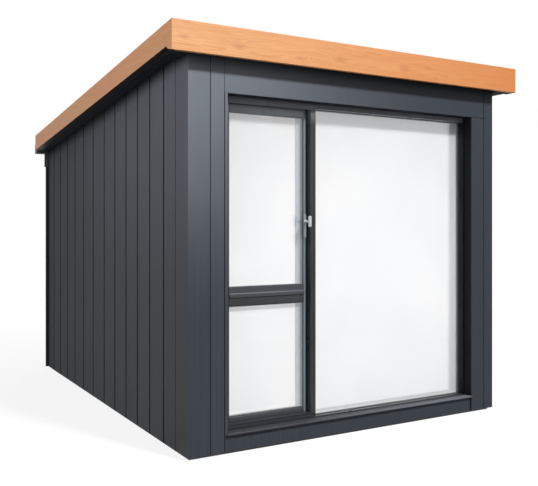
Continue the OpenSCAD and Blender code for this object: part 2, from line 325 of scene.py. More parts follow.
def relief(tree, shader, height, strength, depth):
    """Bump from a height pattern; the depth is in metres."""
    bump = add(tree, "ShaderNodeBump", {"Height": height, "Strength": strength, "Distance": depth})
    tree.links.new(bump.outputs["Normal"], shader.inputs["Normal"])


print("one white is", linear("#ffffff"))

# %% [markdown]
# Paint wears thin on sharp edges, and light changes it from one end of the cabin to the
# other. The first function is a mask of the edges. The second blends a finish to another
# colour along a direction; each fade below paints light or shade into a finish.

# %% Wear and fades
AXES = {"X": (1, 0, 0), "Y": (0, 1, 0), "Z": (0, 0, 1)}


def rub(tree, radius):
    """A mask that is 1 at a sharp edge and 0 on a flat face."""
    soft = add(tree, "ShaderNodeBevel", {"Radius": radius}, samples=4).outputs["Normal"]
    hard = add(tree, "ShaderNodeNewGeometry", {}).outputs["Normal"]
    same = add(tree, "ShaderNodeVectorMath", {0: soft, 1: hard}, operation="DOT_PRODUCT")
    return add(tree, "ShaderNodeMapRange", {"Value": same.outputs["Value"], "From Min": 0.995,
        "From Max": 0.80}, clamp=True).outputs["Result"]


def fade(made, way, start, end, code, width=None):
    """Blends a finish to another colour along an axis or a direction, from the start to the end
    in metres. With a width, the finish comes back to its own colour that far past the end."""
    tree, shader = made.node_tree, shader_of(made)
    place = add(tree, "ShaderNodeTexCoord", {}).outputs["Object"]
    run = add(tree, "ShaderNodeVectorMath", {0: place, 1: AXES.get(way, way)},
        operation="DOT_PRODUCT").outputs["Value"]
    share = add(tree, "ShaderNodeMapRange", {"Value": run, "From Min": start, "From Max": end},
        clamp=True).outputs["Result"]
    if width:
        back = add(tree, "ShaderNodeMapRange", {"Value": run, "From Max": end + width,
            "From Min": 2 * end - start + width}, clamp=True).outputs["Result"]
        share = add(tree, "ShaderNodeMath", {0: share, 1: back}, operation="MULTIPLY").outputs[0]
    first = shader.inputs["Base Color"].links[0].from_socket
    mixed = add(tree, "ShaderNodeMix", {0: share, 6: first, 7: linear(code)}, data_type="RGBA")
    tree.links.new(mixed.outputs[2], shader.inputs["Base Color"])


print("fades run along", ", ".join(AXES), "or any direction")

# %% [markdown]
# ## Finishes
# The boards are planed spruce under satin anthracite paint. Paint over wood shows faint
# streaks along the board, each board takes it a little differently, and it thins on the
# edges. The colour changes from the foot to the top, lighter up high on the side boards,
# which is painted light, and the top left of the front is paler still, a painted sheen. The
# side boards also get a lighter copy of the paint, painted light for a side in shade. The
# real gloss is broad, so the roughness is in the middle. All boards stand upright, so the
# streaks run along Z.

# %% Satin paint on boards
BOARD_FOOT, BOARD_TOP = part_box("front_right_post")[0].z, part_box("front_left_post")[1].z


def painted_sheen(tree):
    """Grows from 0 to 1 towards the top left of the front: the mask of a painted sheen there."""
    place = add(tree, "ShaderNodeTexCoord", {}).outputs["Object"]
    axes = add(tree, "ShaderNodeSeparateXYZ", {0: place}).outputs
    up = add(tree, "ShaderNodeMapRange", {"Value": axes["Z"], "From Min": 0.8, "From Max": 2.6},
        interpolation_type="SMOOTHSTEP").outputs["Result"]
    left = add(tree, "ShaderNodeMapRange", {"Value": axes["X"], "From Min": 1.3,
        "From Max": -1.45}, clamp=True).outputs["Result"]
    near = add(tree, "ShaderNodeMapRange", {"Value": axes["Y"], "From Min": 1.8,
        "From Max": -1.7}, clamp=True).outputs["Result"]
    left = add(tree, "ShaderNodeMath", {0: left, 1: 1.9}, operation="POWER").outputs[0]
    both = add(tree, "ShaderNodeMath", {0: up, 1: left}, operation="MULTIPLY").outputs[0]
    return add(tree, "ShaderNodeMath", {0: both, 1: near}, operation="MULTIPLY").outputs[0]


def satin_paint(name, top, low, pale, edge, gloss, shine):
    """Paint with four colours: up high, near the ground, a painted sheen, and worn edges. The change
    from the ground to up high is painted light.
    """
    made, tree, shader = new_material(name)
    shade = add(tree, "ShaderNodeAttribute", {}, attribute_name="tone").outputs["Fac"]
    place = add(tree, "ShaderNodeTexCoord", {}).outputs["Object"]
    height = add(tree, "ShaderNodeSeparateXYZ", {0: place}).outputs["Z"]
    streaks = pattern(tree, per_mm(14, 14, 900), 4, 0.6, shade)
    cloud = pattern(tree, per_mm(420, 420, 700), 2, 0.5, shade)
    # painted light: the colour changes from the foot to the top
    colour = lay(tree, linear(low), top, height, BOARD_FOOT, BOARD_TOP)
    # painted sheen: the top left of the front is painted pale
    colour = lay(tree, colour, pale, painted_sheen(tree), 0, 1)
    colour = lay(tree, colour, edge, streaks, most=0.10)
    colour = lay(tree, colour, low, cloud, 0.35, 0.7, 0.22)
    colour = lay(tree, colour, edge, shade, 0, 1, 0.08)
    colour = lay(tree, colour, edge, rub(tree, 4 * MM), 0, 1, 0.45)
    tree.links.new(colour, shader.inputs["Base Color"])
    roughen(tree, shader, streaks, gloss - 0.05, gloss + 0.07)
    shader.inputs["IOR"].default_value = 1.48
    shader.inputs["Specular IOR Level"].default_value = shine
    relief(tree, shader, streaks, 0.25, 0.0004)
    return made


# The side boards get a lighter copy of the front's anthracite paint, painted light for a side in
# shade; it darkens towards the rear, painted shade.
side_paint_painted_light_and_shade = satin_paint("satin_paint_on_side_boards_painted_light_and_shade",
    "#646971", "#585a5c", "#878d96", "#74777a", 0.6, 0.05)
fade(side_paint_painted_light_and_shade, "Y", -0.8, 2.4, "#3b3f44")
front_paint = satin_paint("satin_paint_on_front_boards_painted_light_and_shade",
    "#363b43", "#363c44", "#8f959d", "#7b8087", 0.42, 0.14)
# painted shade: to the right the front paint fades to one flat dark colour
fade(front_paint, "X", -0.7, 1.3, "#363c43")
# A near-black copy for the tongues in the grooves: painted shade where little light comes in.
groove_paint_painted_shade = satin_paint("satin_paint_painted_groove_shade",
    "#1d2024", "#1a1d20", "#24272b", "#2b2f33", 0.7, 0.05)
# A near-black copy for the reveal trims: painted shade of the deep reveal.
reveal_paint_painted_shade = satin_paint("satin_paint_painted_reveal_shade",
    "#1d2126", "#1b1e22", "#2b2f34", "#3c4046", 0.6, 0.05)
print("boards from", round(BOARD_FOOT, 3), "to", round(BOARD_TOP, 3))

# %% [markdown]
# The window frame and the door leaf are extruded aluminium with anthracite powder coat. The
# coat has a fine even grain, like orange peel, and no direction. The grain is really under
# half a millimetre, so it is drawn at two millimetres to show at all. Light and shade are
# painted into the coats: the right jamb in the deep reveal gets a darker copy as painted
# shade, the top of the frame and of the leaf is painted pale where the sky lights it, and
# fades paint more light and shade on the frame, the leaf and the closing stile.

# %% Powder coat on aluminium
RAIL_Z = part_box("door_mid_rail")[0].z
JOINT_Z = RAIL_Z + 51.5 * MM  # the joint line across the middle rail and the frame
LEDGE_Z = RAIL_Z + 81.5 * MM  # the top of the middle rail's ledge


def powder_coat(name, body, edge, rough=0.4, shine=0.22):
    made, tree, shader = new_material(name)
    peel = pattern(tree, per_mm(2), 2, 0.5)
    cloud = pattern(tree, per_mm(260), 3, 0.5)
    colour = lay(tree, linear(body), edge, cloud, 0.35, 0.7, 0.06)
    # painted sheen: the coat is painted paler towards the top left of the front
    colour = lay(tree, colour, edge, painted_sheen(tree), 0, 1, 0.3)
    colour = lay(tree, colour, edge, rub(tree, 2 * MM), 0, 1, 0.4)
    tree.links.new(colour, shader.inputs["Base Color"])
    roughen(tree, shader, cloud, rough - 0.05, rough + 0.05)
    shader.inputs["IOR"].default_value = 1.5
    shader.inputs["Specular IOR Level"].default_value = shine
    relief(tree, shader, peel, 0.12, 0.0002)
    return made


frame_coat = powder_coat("powder_coat_on_window_frame_painted_light", "#1a1d21", "#868b92", 0.3, 0.36)
# painted light: the frame is paler towards its foot
fade(frame_coat, "Z", 0.35, 0.17, "#2f3338")
# painted light: the top of the frame is painted pale
fade(frame_coat, "Z", 2.05, 2.16, "#787e85")
# a darker copy of the frame coat for the right jamb: painted shade of the deep reveal
shaded_coat = powder_coat("powder_coat_painted_reveal_shade", "#1a1d21", "#50555b", 0.4, 0.12)
leaf_coat = powder_coat("powder_coat_on_door_leaf_painted_light_and_shade", "#181b1e", "#8d939a", 0.3, 0.5)
# painted light and shade on the leaf: darker below the middle rail's joint, lighter above it, pale
# at the top, a painted highlight along the ledge and paler at the foot
fade(leaf_coat, "Z", RAIL_Z + 45 * MM, RAIL_Z + 55 * MM, "#373b41")
fade(leaf_coat, "Z", 1.95, 2.12, "#a2a9b0")
fade(leaf_coat, "Z", LEDGE_Z - 8 * MM, LEDGE_Z - 6 * MM, "#62676e", 6 * MM)
fade(leaf_coat, "Z", 0.35, 0.2, "#363a3f")
# a lighter copy of the leaf coat for the closing stile, with a pale strip painted beside the glass:
# painted light
stile_coat_painted_light = powder_coat("powder_coat_on_closing_stile_painted_light", "#2b2f34", "#8d939a", 0.3, 0.3)
glass_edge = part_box("door_right_stile")[0].x
fade(stile_coat_painted_light, "X", glass_edge + 22 * MM, glass_edge + 8 * MM, "#7f8a94")
plate_coat = powder_coat("powder_coat_on_handle_plate", "#8b949d", "#b4bcc4", 0.36)
# pale blue-grey, darker towards the closing stile: painted shade where the stile's shadow falls on
# the blind
guide_coat_painted_shade = powder_coat("powder_coat_on_blind_guides_painted_shade", "#a6b2be", "#b9c2cb", 0.45)
fade(guide_coat_painted_shade, "X", glass_edge - 36 * MM, glass_edge - 4 * MM, "#82929f")
handle_coat = powder_coat("white_powder_coat_on_die_cast_handle", "#c9cac9", "#e8e8e6", 0.33)
metal_coat = powder_coat("coated_steel_sheet_of_eaves", "#5c6165", "#8b9094", 0.45)
strip_coat = powder_coat("coated_steel_corner_strip", "#2c2f33", "#5c6064", 0.42)
panel_coat = powder_coat("coated_steel_roof_panel", "#c4c6c7", "#dcdddd", 0.45)
print("the rail's ledge ends at", round(LEDGE_Z, 4))

# %% [markdown]
# The fascia is planed pine under clear oil. Pine is pale, with a darker band in each growth
# ring where the wood grew in autumn. A board cut beside the middle of the trunk shows these
# rings as long lines along it, so the pattern is rings about a far axis, with noise that
# bends them. The grain has to follow each board, so there is one material for boards along
# X and one for boards along Y. The front board has six small knots, which push the rings
# aside. Each board is painted paler to the left and deeper to the right, a painted sheen, and
# the side boards get paler, warmer colours than the front, painted light for a side in shade.
# The same wood under a dark stain closes the soffit; under the sides that stain is a bluish
# dark grey, painted shade.

# %% Oiled pine
RING_MM = 9.0
TILT = 0.35  # how far the rings lean across the board
KNOTS = ((-1.32, 2.470, 0.010), (-0.96, 2.457, 0.012), (-0.53, 2.434, 0.010),
    (-0.22, 2.456, 0.012), (0.31, 2.460, 0.013), (0.52, 2.483, 0.009))


def oiled_pine(name, along, pale, dark, deep, knots=(), shine=0.5):
    made, tree, shader = new_material(name)
    place = add(tree, "ShaderNodeTexCoord", {}).outputs["Object"]
    axes = add(tree, "ShaderNodeSeparateXYZ", {0: place}).outputs
    across = axes["Y"] if along == "X" else axes["X"]
    slow = pattern(tree, per_mm(900, 60, 60) if along == "X" else per_mm(60, 900, 60), 2, 0.5)
    fine = pattern(tree, per_mm(160, 3, 3) if along == "X" else per_mm(3, 160, 3), 4, 0.6)
    bend = add(tree, "ShaderNodeMapRange", {"Value": slow, "From Min": 0.2, "From Max": 0.8,
        "To Min": -0.035, "To Max": 0.035}, clamp=True).outputs["Result"]
    radius = add(tree, "ShaderNodeMath", {0: axes["Z"], 1: bend}, operation="ADD").outputs[0]
    radius = add(tree, "ShaderNodeMath", {0: across, 1: TILT, 2: radius},
        operation="MULTIPLY_ADD").outputs[0]
    away = []
    for x, z, size in knots:
        gap = add(tree, "ShaderNodeVectorMath", {0: place, 1: (x, 0, z)},
            operation="SUBTRACT").outputs[0]
        flat = add(tree, "ShaderNodeVectorMath", {0: gap, 1: (0.4, 0, 1)},
            operation="MULTIPLY").outputs[0]
        far = add(tree, "ShaderNodeVectorMath", {0: flat}, operation="LENGTH").outputs["Value"]
        swell = add(tree, "ShaderNodeMapRange", {"Value": far, "From Min": size * 4,
            "From Max": 0, "To Max": size * 2.5}, interpolation_type="SMOOTHSTEP")
        radius = add(tree, "ShaderNodeMath", {0: radius, 1: swell.outputs["Result"]},
            operation="ADD").outputs[0]
        away.append((far, size))
    rings = add(tree, "ShaderNodeMath", {0: radius, 1: 1000 / RING_MM},
        operation="MULTIPLY").outputs[0]
    ring = add(tree, "ShaderNodeMath", {0: rings}, operation="FRACT").outputs[0]
    # painted sheen: paler at the left, deeper at the right
    colour = lay(tree, linear(pale), dark, axes["X"], -1.4, 1.4)
    colour = lay(tree, colour, dark, slow, most=0.35)
    colour = lay(tree, colour, dark, ring, 0.35, 1.0, 0.55)
    colour = lay(tree, colour, deep, fine, 0.35, 0.75, 0.35)
    for far, size in away:
        colour = lay(tree, colour, deep, far, size * 2.2, 0, 0.4)
    tree.links.new(colour, shader.inputs["Base Color"])
    roughen(tree, shader, fine, 0.42, 0.58)
    shader.inputs["IOR"].default_value = 1.47
    shader.inputs["Specular IOR Level"].default_value = shine
    relief(tree, shader, fine, 0.2, 0.0004)
    return made


pine_front = oiled_pine("oiled_pine_along_the_front", "X", "#f8be84", "#d28347", "#a86034", KNOTS)
# a paler, warmer copy for the side boards: painted light for a side in shade
pine_side_painted_light = oiled_pine("oiled_pine_along_the_sides_painted_light", "Y", "#ffc084", "#ff9c5a", "#dc783e")
soffit_stain = oiled_pine("dark_stained_soffit_pine_along_x", "X",
    "#3a2d25", "#33271f", "#1d1713", shine=0.1)
# a bluish dark grey in place of the brown stain: painted shade under the side eaves
soffit_stain_side_painted_shade = oiled_pine("dark_stained_soffit_pine_along_y_painted_shade", "Y",
    "#33373e", "#2b2e34", "#1c1e22", shine=0.1)
print("growth rings every", RING_MM, "mm, and", len(KNOTS), "knots")

# %% [markdown]
# The panes have a thin coat that keeps the sun out. From outside, each coated face mirrors
# about a sixth of the surroundings, and more at a shallow angle, so the front looks even and
# pale. A transparent shader mixed with a sharp gloss by Fresnel gives just that, and lets the
# lamps light what stands behind.

# %% Glass
COAT_MIRROR = 0.15
glass_clear = bpy.data.materials.new("sun_coated_float_glass")
glass_clear.use_nodes = True
tree = glass_clear.node_tree
tree.nodes.clear()
smear = add(tree, "ShaderNodeMapRange", {"Value": pattern(tree, per_mm(300, 300, 500), 3, 0.6),
    "From Min": NOISE_LOW, "From Max": NOISE_HIGH, "To Min": 0.01, "To Max": 0.05}, clamp=True)
tint = lay(tree, linear("#ffffff"), "#fdfefe", pattern(tree, per_mm(700), 2, 0.5))
clear = add(tree, "ShaderNodeBsdfTransparent", {"Color": tint})
mirror = add(tree, "ShaderNodeBsdfGlossy",
    {"Color": linear("#fefdfd"), "Roughness": smear.outputs["Result"]})
angle = add(tree, "ShaderNodeFresnel", {"IOR": 1.3}).outputs[0]
behind = add(tree, "ShaderNodeNewGeometry", {}).outputs["Backfacing"]
outside = add(tree, "ShaderNodeMath", {0: 1.0, 1: behind}, operation="SUBTRACT").outputs[0]
coat = add(tree, "ShaderNodeMath", {0: angle, 1: COAT_MIRROR}, operation="ADD").outputs[0]
share = add(tree, "ShaderNodeMath", {0: coat, 1: outside}, operation="MULTIPLY").outputs[0]
shadow = add(tree, "ShaderNodeLightPath", {}).outputs["Is Shadow Ray"]
sight = add(tree, "ShaderNodeMath", {0: 1.0, 1: shadow}, operation="SUBTRACT").outputs[0]
share = add(tree, "ShaderNodeMath", {0: share, 1: sight}, operation="MULTIPLY").outputs[0]
both = add(tree, "ShaderNodeMixShader", {0: share, 1: clear.outputs[0], 2: mirror.outputs[0]})
add(tree, "ShaderNodeOutputMaterial", {"Surface": both.outputs[0]})
print("glass nodes:", len(tree.nodes))

# %% [markdown]
# The small finishes are all matt or metal: white blind cloth and its hem bar, black rubber
# seals, zinc plate on the hinges, aluminium spacer bars, roofing felt with mineral grit,
# white lining board, grey vinyl underfoot, black paint on the steel base, and a dark coated
# tread, which is painted paler at its nose and to the right, painted light, and darker at its
# rear, painted shade. One function makes them from two colours, a pattern size and a
# roughness. Last, the blind cloth lets light through.

# %% Small finishes
def plain_finish(name, main, other, grain, rough, depth=0.0003, metal=0.0, strength=0.3, wide=400):
    made, tree, shader = new_material(name)
    fine = pattern(tree, grain, 3, 0.6)
    cloud = pattern(tree, per_mm(wide), 3, 0.5)
    colour = lay(tree, linear(main), other, cloud, most=0.5)
    colour = lay(tree, colour, other, fine, 0.3, 0.75, 0.5)
    tree.links.new(colour, shader.inputs["Base Color"])
    roughen(tree, shader, fine, rough - 0.06, rough + 0.06)
    shader.inputs["Metallic"].default_value = metal
    relief(tree, shader, fine, strength, depth)
    return made


WHITES = ("#fbfafa", "#f7f6f6", per_mm(3), 0.85, 0.00002)
blind_cloth = plain_finish("woven_polyester_blind_cloth", *WHITES)
hem_white = plain_finish("white_hem_bar_in_cloth", *WHITES)
seal_rubber = plain_finish("black_rubber_seal", "#1d2024", "#2a2d31", per_mm(4), 0.6)
zinc_plate = plain_finish("zinc_plated_hinge_steel",
    "#c2c5c8", "#9da1a5", per_mm(5), 0.32, metal=1.0, wide=30)
spacer_metal = plain_finish("aluminium_spacer_bar", "#8a8f93", "#777c80", per_mm(6), 0.4, metal=0.6)
roofing_felt = plain_finish("mineral_roofing_felt",
    "#3a3c3e", "#26282a", per_mm(4), 0.92, 0.001, strength=0.7)
lining_white = plain_finish("white_wall_lining_board", "#d9dcdf", "#ced2d6", per_mm(6), 0.55)
floor_film = plain_finish("grey_vinyl_floor_sheet", "#6f7478", "#5f6468", per_mm(4), 0.5)
base_paint = plain_finish("black_painted_base_steel", "#2c2e31", "#3b3d40", per_mm(12), 0.55)
ground_panel = plain_finish("galvanised_underside_sheet",
    "#80858a", "#6c7176", per_mm(25), 0.5, metal=0.4)
tread_dark = plain_finish("dark_coated_threshold_tread",
    "#2a2d31", "#24272b", per_mm(60, 2, 2), 0.6)

plate_low, plate_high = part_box("threshold_plate")
# painted light and shade on the tread: paler at the nose and to the right, darker at the rear by the
# frame
fade(tread_dark, "Y", plate_low.y + 34 * MM, plate_low.y + 22 * MM, "#33373c")
fade(tread_dark, "X", -0.45, 0.7, "#5a5f66")
fade(tread_dark, "Y", plate_high.y - 34 * MM, plate_high.y - 16 * MM, "#2c3034")
shader_of(tread_dark).inputs["Specular IOR Level"].default_value = 0.32

tree = blind_cloth.node_tree
through = add(tree, "ShaderNodeBsdfTranslucent", {"Color": linear("#faf9f9")})
cloth = add(tree, "ShaderNodeMixShader",
    {0: 0.5, 1: shader_of(blind_cloth).outputs[0], 2: through.outputs[0]})
end = next(n for n in tree.nodes if n.type == "OUTPUT_MATERIAL")
tree.links.new(cloth.outputs[0], end.inputs["Surface"])
print("finishes:", len(bpy.data.materials))

# %% [markdown]
# ## Outer boards
# The roof falls to the rear, so every board's top is cut on the same slope. Two walls give
# that slope: how much lower the rear wall's top is, over the distance between them. The
# overhang keeps the light off the boards just below it, so both paints darken up the slope.

# %% The roof's slope
wall_low, wall_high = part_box("left_wall")
rear_low, rear_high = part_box("rear_wall")
SLOPE = (wall_high.z - rear_high.z) / (rear_low.y - wall_low.y)
SLOPE_WAY = (0, SLOPE, 1)
SLOPE_NORMAL = Vector(SLOPE_WAY).normalized()
EAVES = wall_high.z + SLOPE * wall_low.y


def under_roof(obj):
    return cut(obj, (0, wall_low.y, wall_high.z), SLOPE_NORMAL)


fade(side_paint_painted_light_and_shade, SLOPE_WAY, EAVES - 0.12, EAVES - 0.005, "#1a1c20")
fade(front_paint, SLOPE_WAY, EAVES - 0.115, EAVES, "#171a1f")
print("the roof falls", round(SLOPE * 1000, 1), "mm in a metre")

# %% [markdown]
# The sides are upright boards with an open groove between them. Each real board has a
# tongue along one edge that slips behind the next board, so it is modelled as that: a plank,
# a scored line down its edge, and the inner part of the edge pushed out by the groove's
# width. The places of the grooves are read from the CAD sheet, and planed a little wider.
# Deep in the groove little light comes in, so the tongues are painted darker.

# %% Side and rear boards
PLANED = 5 * MM


def levels(node, axis, keep_if=lambda co: True):
    """The places along an axis where a CAD node has vertices."""
    return sorted({round(v.co[axis], 4) for v in nodes[node].data.vertices if keep_if(v.co)})


def plank(name, run, face, inner, start, end, tongue, low, high, shade):
    """An upright board along axis run, with its face and its inner side on the other axis."""
    depth = 1 - run
    a, b = [0, 0, low], [0, 0, high]
    a[run], b[run] = start, end
    a[depth], b[depth] = min(face, inner), max(face, inner)
    made = block(name, a, b)
    if tongue:
        width, thick = tongue
        score(made, depth, inner + thick * (1 if face > inner else -1))
        move = [0, 0, 0]
        move[run] = width
        push(made, lambda m, n: n[run] > 0.9 and abs(m[depth] - inner) < thick, move)
    under_roof(made)
    ease(made, 2.2 * MM)
    return tone(made, shade)


def board_row(name, node, run, face):
    """All boards of a wall, from the levels of its CAD sheet: face, groove bottoms and back."""
    depth = 1 - run
    low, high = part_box(node)
    faces = levels(node, depth)
    inner = faces[0] if abs(faces[0] - face) > abs(faces[-1] - face) else faces[-1]
    bottom = faces[1]
    edges = levels(node, run, lambda co: abs(co[depth] - bottom) < NEAR)
    if abs(edges[0] - low[run]) > 1 * MM:
        edges = [low[run]] + edges
    else:
        edges = edges[1:]
    edges.append(high[run])
    boards = []
    for i in range(0, len(edges) - 1, 2):
        gap = edges[i + 2] - edges[i + 1] if i + 2 < len(edges) else 0
        shade = (math.sin(7.3 * (i + 1) + len(name)) + 1) / 2
        trim = PLANED if gap else 0
        tongue = (gap + trim, abs(bottom - inner)) if gap else None
        boards.append(plank(name, run, face, inner, edges[i], edges[i + 1] - trim, tongue,
            low.z, high.z, shade))
    print(name, len(boards), "boards")
    return join(name, boards)


left_low, left_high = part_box("left_cladding")
right_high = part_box("right_cladding")[1]
for name, node, run, face in (("side_boards_left", "left_cladding", 1, left_low.x),
        ("side_boards_right", "right_cladding", 1, right_high.x),
        ("rear_boards", "rear_cladding", 0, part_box("rear_cladding")[1].y)):
    boards = keep(board_row(name, node, run, face), "cabin", "side_boards", side_paint_painted_light_and_shade, node)
    refinish(boards, groove_paint_painted_shade, lambda m, n: abs(m[1 - run] - face) > 2.3 * MM)

# %% [markdown]
# A corner post is one moulding that covers the front edge and runs back along the side. It
# starts as the front board. A scored line marks off the end that lies on the side, and that
# part of the back is pushed to the rear.

# %% Corner posts
BOARD = left_high.x - left_low.x


def corner_post(name, node, side, shade):
    low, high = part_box(node)
    made = block(name, low, (high.x, low.y + BOARD, high.z))
    line = low.x + BOARD if side < 0 else high.x - BOARD
    score(made, 0, line)
    push(made, lambda m, n: n.y > 0.9 and (m.x - line) * side > 0, (0, high.y - low.y - BOARD, 0))
    under_roof(made)
    ease(made, 3 * MM, 3)
    keep(tone(made, shade), "cabin", "front_boards", front_paint, node)
    # the side face takes the side boards' lighter paint: painted light for a face in shade
    refinish(made, side_paint_painted_light_and_shade, lambda m, n: n.x * side > 0.8)
    print(name, round((high.x - low.x) * 1000), "mm wide")


corner_post("corner_post_left", "front_left_post", -1, 0.35)
corner_post("corner_post_right", "front_right_post", 1, 0.1)

# %% [markdown]
# The plain boards round the glazing are butted with a shadow gap. Their arrises are eased,
# so that each edge catches a thin line of light. The sill board gets a drip groove under its
# front edge, which throws off water before it reaches the base.

# %% Front boards
def front_board(name, node, shade):
    made = under_roof(block(name, *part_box(node)))
    ease(made, 2.5 * MM, 3)
    keep(tone(made, shade), "cabin", "front_boards", front_paint, node)


front_board("jamb_board_left", "front_left_jamb_board", 0.6)
front_board("jamb_board_right", "front_right_jamb_board", 0.3)
front_board("head_board", "front_head_board", 0.45)

low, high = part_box("front_sill_board")
sill_board = block("sill_board", low, high)
drip = (low.y + 5 * MM, low.y + 10 * MM)
for y in drip:
    score(sill_board, 1, y)
pick(sill_board, lambda m, n: n.z < -0.9 and drip[0] < m.y < drip[1])
bpy.ops.mesh.inset(thickness=0.5 * MM, depth=-4 * MM)
ease(sill_board, 1.5 * MM, 2)
keep(tone(sill_board, 0.2), "cabin", "front_boards", front_paint, "front_sill_board")
print("sill board", round((high.z - low.z) * 1000), "mm high")

# %% [markdown]
# Between the boards and the window frame the wall's edge would show, so a real opening has
# painted reveal trims. The left one is a thick liner that comes forward to the boards, and
# the threshold plate stops beside it. The others are as thin as the space beside the plate,
# and take a near-black copy of the front paint: painted shade of the deep reveal.

# %% Reveal trims
jamb_low, jamb_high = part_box("frame_left_jamb")
right_jamb_low, right_jamb_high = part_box("frame_right_jamb")
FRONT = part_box("front_left_post")[0].y
TRIM = right_jamb_high.x - plate_high.x
trim_front, trim_back = FRONT + 5 * MM, jamb_low.y
head_under = jamb_high.z
liner_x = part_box("front_left_jamb_board")[1].x + 5.5 * MM
liner = block("jamb_liner_left", (liner_x, FRONT + 1 * MM, plate_low.z),
    (plate_low.x, trim_back, head_under))
keep(tone(ease(liner, 1.5 * MM, 2), 0.7), "cabin", "front_boards", front_paint)
trims = [
    block("reveal_trims", (plate_high.x, trim_front, plate_low.z),
        (right_jamb_high.x, trim_back, head_under)),
    block("trim", (plate_low.x, trim_front, head_under - TRIM),
        (plate_high.x, trim_back, head_under)),
]
for strip in trims:
    ease(strip, 0.7 * MM, 1)
keep(tone(join("reveal_trims", trims), 0.0), "cabin", "front_boards", reveal_paint_painted_shade)
print("reveal trims", round(TRIM * 1000, 1), "mm thick")

# %% [markdown]
# ## The window frame
# The frame round the door bay has a front lip, which the leaf closes behind, and a narrower
# rear part. Each member starts as its lip. Its back is scored along the rebate's lines, and
# all of it but the rebate is pushed back to the room. The lines come from the CAD jambs. A
# fine joint line runs across the left jamb and the near side of the mullion.

# %% Rebated frame members
bay_x0 = levels("frame_left_jamb", 0)[1]
bay_x1 = levels("frame_mullion", 0)[1]
bay_z0, bay_z1 = levels("frame_left_jamb", 2)[1:3]
lip_back = levels("frame_left_jamb", 1)[1]


def in_rebate(middle):
    return bay_x0 < middle.x < bay_x1 and bay_z0 < middle.z < bay_z1


def slit(obj, axis, at, width, depth, test=lambda m: True):
    """A fine groove across a member's face, at a place along an axis."""
    for side in (-0.5, 0.5):
        score(obj, axis, at + side * width)
    return push(obj, lambda m, n: n.y < -0.9 and abs(m[axis] - at) < width / 2 and test(m),
        (0, depth, 0))


def member(name, low, high, extra=None):
    made = block(name, low, (high[0], lip_back, high[2]))
    if extra:
        extra(made)
    for axis, lines in ((0, (bay_x0, bay_x1)), (2, (bay_z0, bay_z1))):
        for line in lines:
            if low[axis] < line < high[axis]:
                score(made, axis, line)
    push(made, lambda m, n: n.y > 0.9 and not in_rebate(m), (0, high[1] - lip_back, 0))
    return made


def finish_member(made, node, coat=frame_coat):
    ease(made, 1.4 * MM, 2)
    keep(made, "cabin", "window_frame", coat, node)


left_jamb = member("frame_jamb_left", jamb_low, jamb_high)
slit(left_jamb, 2, JOINT_Z, 2.5 * MM, 3 * MM)
finish_member(left_jamb, "frame_left_jamb")

mullion_low, mullion_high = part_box("frame_mullion")
mullion = member("frame_mullion_bar", mullion_low, mullion_high)
near_side = mullion_low.x + 14 * MM
score(mullion, 0, near_side)
slit(mullion, 2, JOINT_Z, 2.5 * MM, 3 * MM, lambda m: m.x < near_side)
finish_member(mullion, "frame_mullion")
print("door bay", round(bay_x1 - bay_x0, 3), "by", round(bay_z1 - bay_z0, 3))

# %% [markdown]
# The head and the sill run over both bays. The fixed bay has slimmer members, so each of
# these starts at the slim height and its part at the door bay is pushed down or up. On the
# fixed side the face steps back to the glazing bead, and a dark groove holds the seal.

# %% Frame head and sill
head_low, head_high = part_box("frame_head")
sill_low, sill_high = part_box("frame_sill")
fixed_low, fixed_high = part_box("fixed_glass")
at_fixed = mullion_high.x


def deepen(obj, toward, height):
    score(obj, 0, at_fixed)
    push(obj, lambda m, n: n.z * toward > 0.9 and m.x < at_fixed, (0, 0, toward * height))


head = member("frame_head_bar", (head_low.x, head_low.y, fixed_high.z), head_high,
    lambda obj: deepen(obj, -1, fixed_high.z - head_low.z))
slit(head, 2, head_high.z - 18 * MM, 9 * MM, 8 * MM, lambda m: m.x > at_fixed)
bead = fixed_high.z + 9.5 * MM
score(head, 2, bead)
push(head, lambda m, n: n.y < -0.9 and m.x > at_fixed and m.z < bead, (0, 3 * MM, 0))
finish_member(head, "frame_head")
# the underside of the head over the door bay takes the black rubber finish: painted shade under the
# lip
refinish(head, seal_rubber,
    lambda m, n: n.z < -0.9 and m.x < at_fixed and m.z < head_high.z - 20 * MM)

sill = member("frame_sill_bar", sill_low, (sill_high.x, sill_high.y, fixed_low.z),
    lambda obj: deepen(obj, 1, sill_high.z - fixed_low.z))
bead = fixed_low.z - 5 * MM
score(sill, 2, bead)
push(sill, lambda m, n: n.y < -0.9 and m.x > at_fixed and m.z > bead, (0, 7 * MM, 0))
slit(sill, 2, sill_high.z - 9.5 * MM, 9 * MM, 8 * MM, lambda m: m.x < at_fixed)
finish_member(sill, "frame_sill")

right_jamb = block("frame_jamb_right", right_jamb_low, right_jamb_high)
bead = right_jamb_low.x + 5 * MM
score(right_jamb, 0, bead)
push(right_jamb, lambda m, n: n.y < -0.9 and m.x < bead, (0, 7 * MM, 0))
finish_member(right_jamb, "frame_right_jamb", shaded_coat)
print("fixed bay from", round(at_fixed, 3), "to", round(right_jamb_low.x, 3))

# %% [markdown]
# The threshold plate is extruded aluminium with a rounded nose and low ribs that stop a shoe
# from slipping. The top is scored into strips, every other strip is pushed up, and the nose
# is bevelled round.

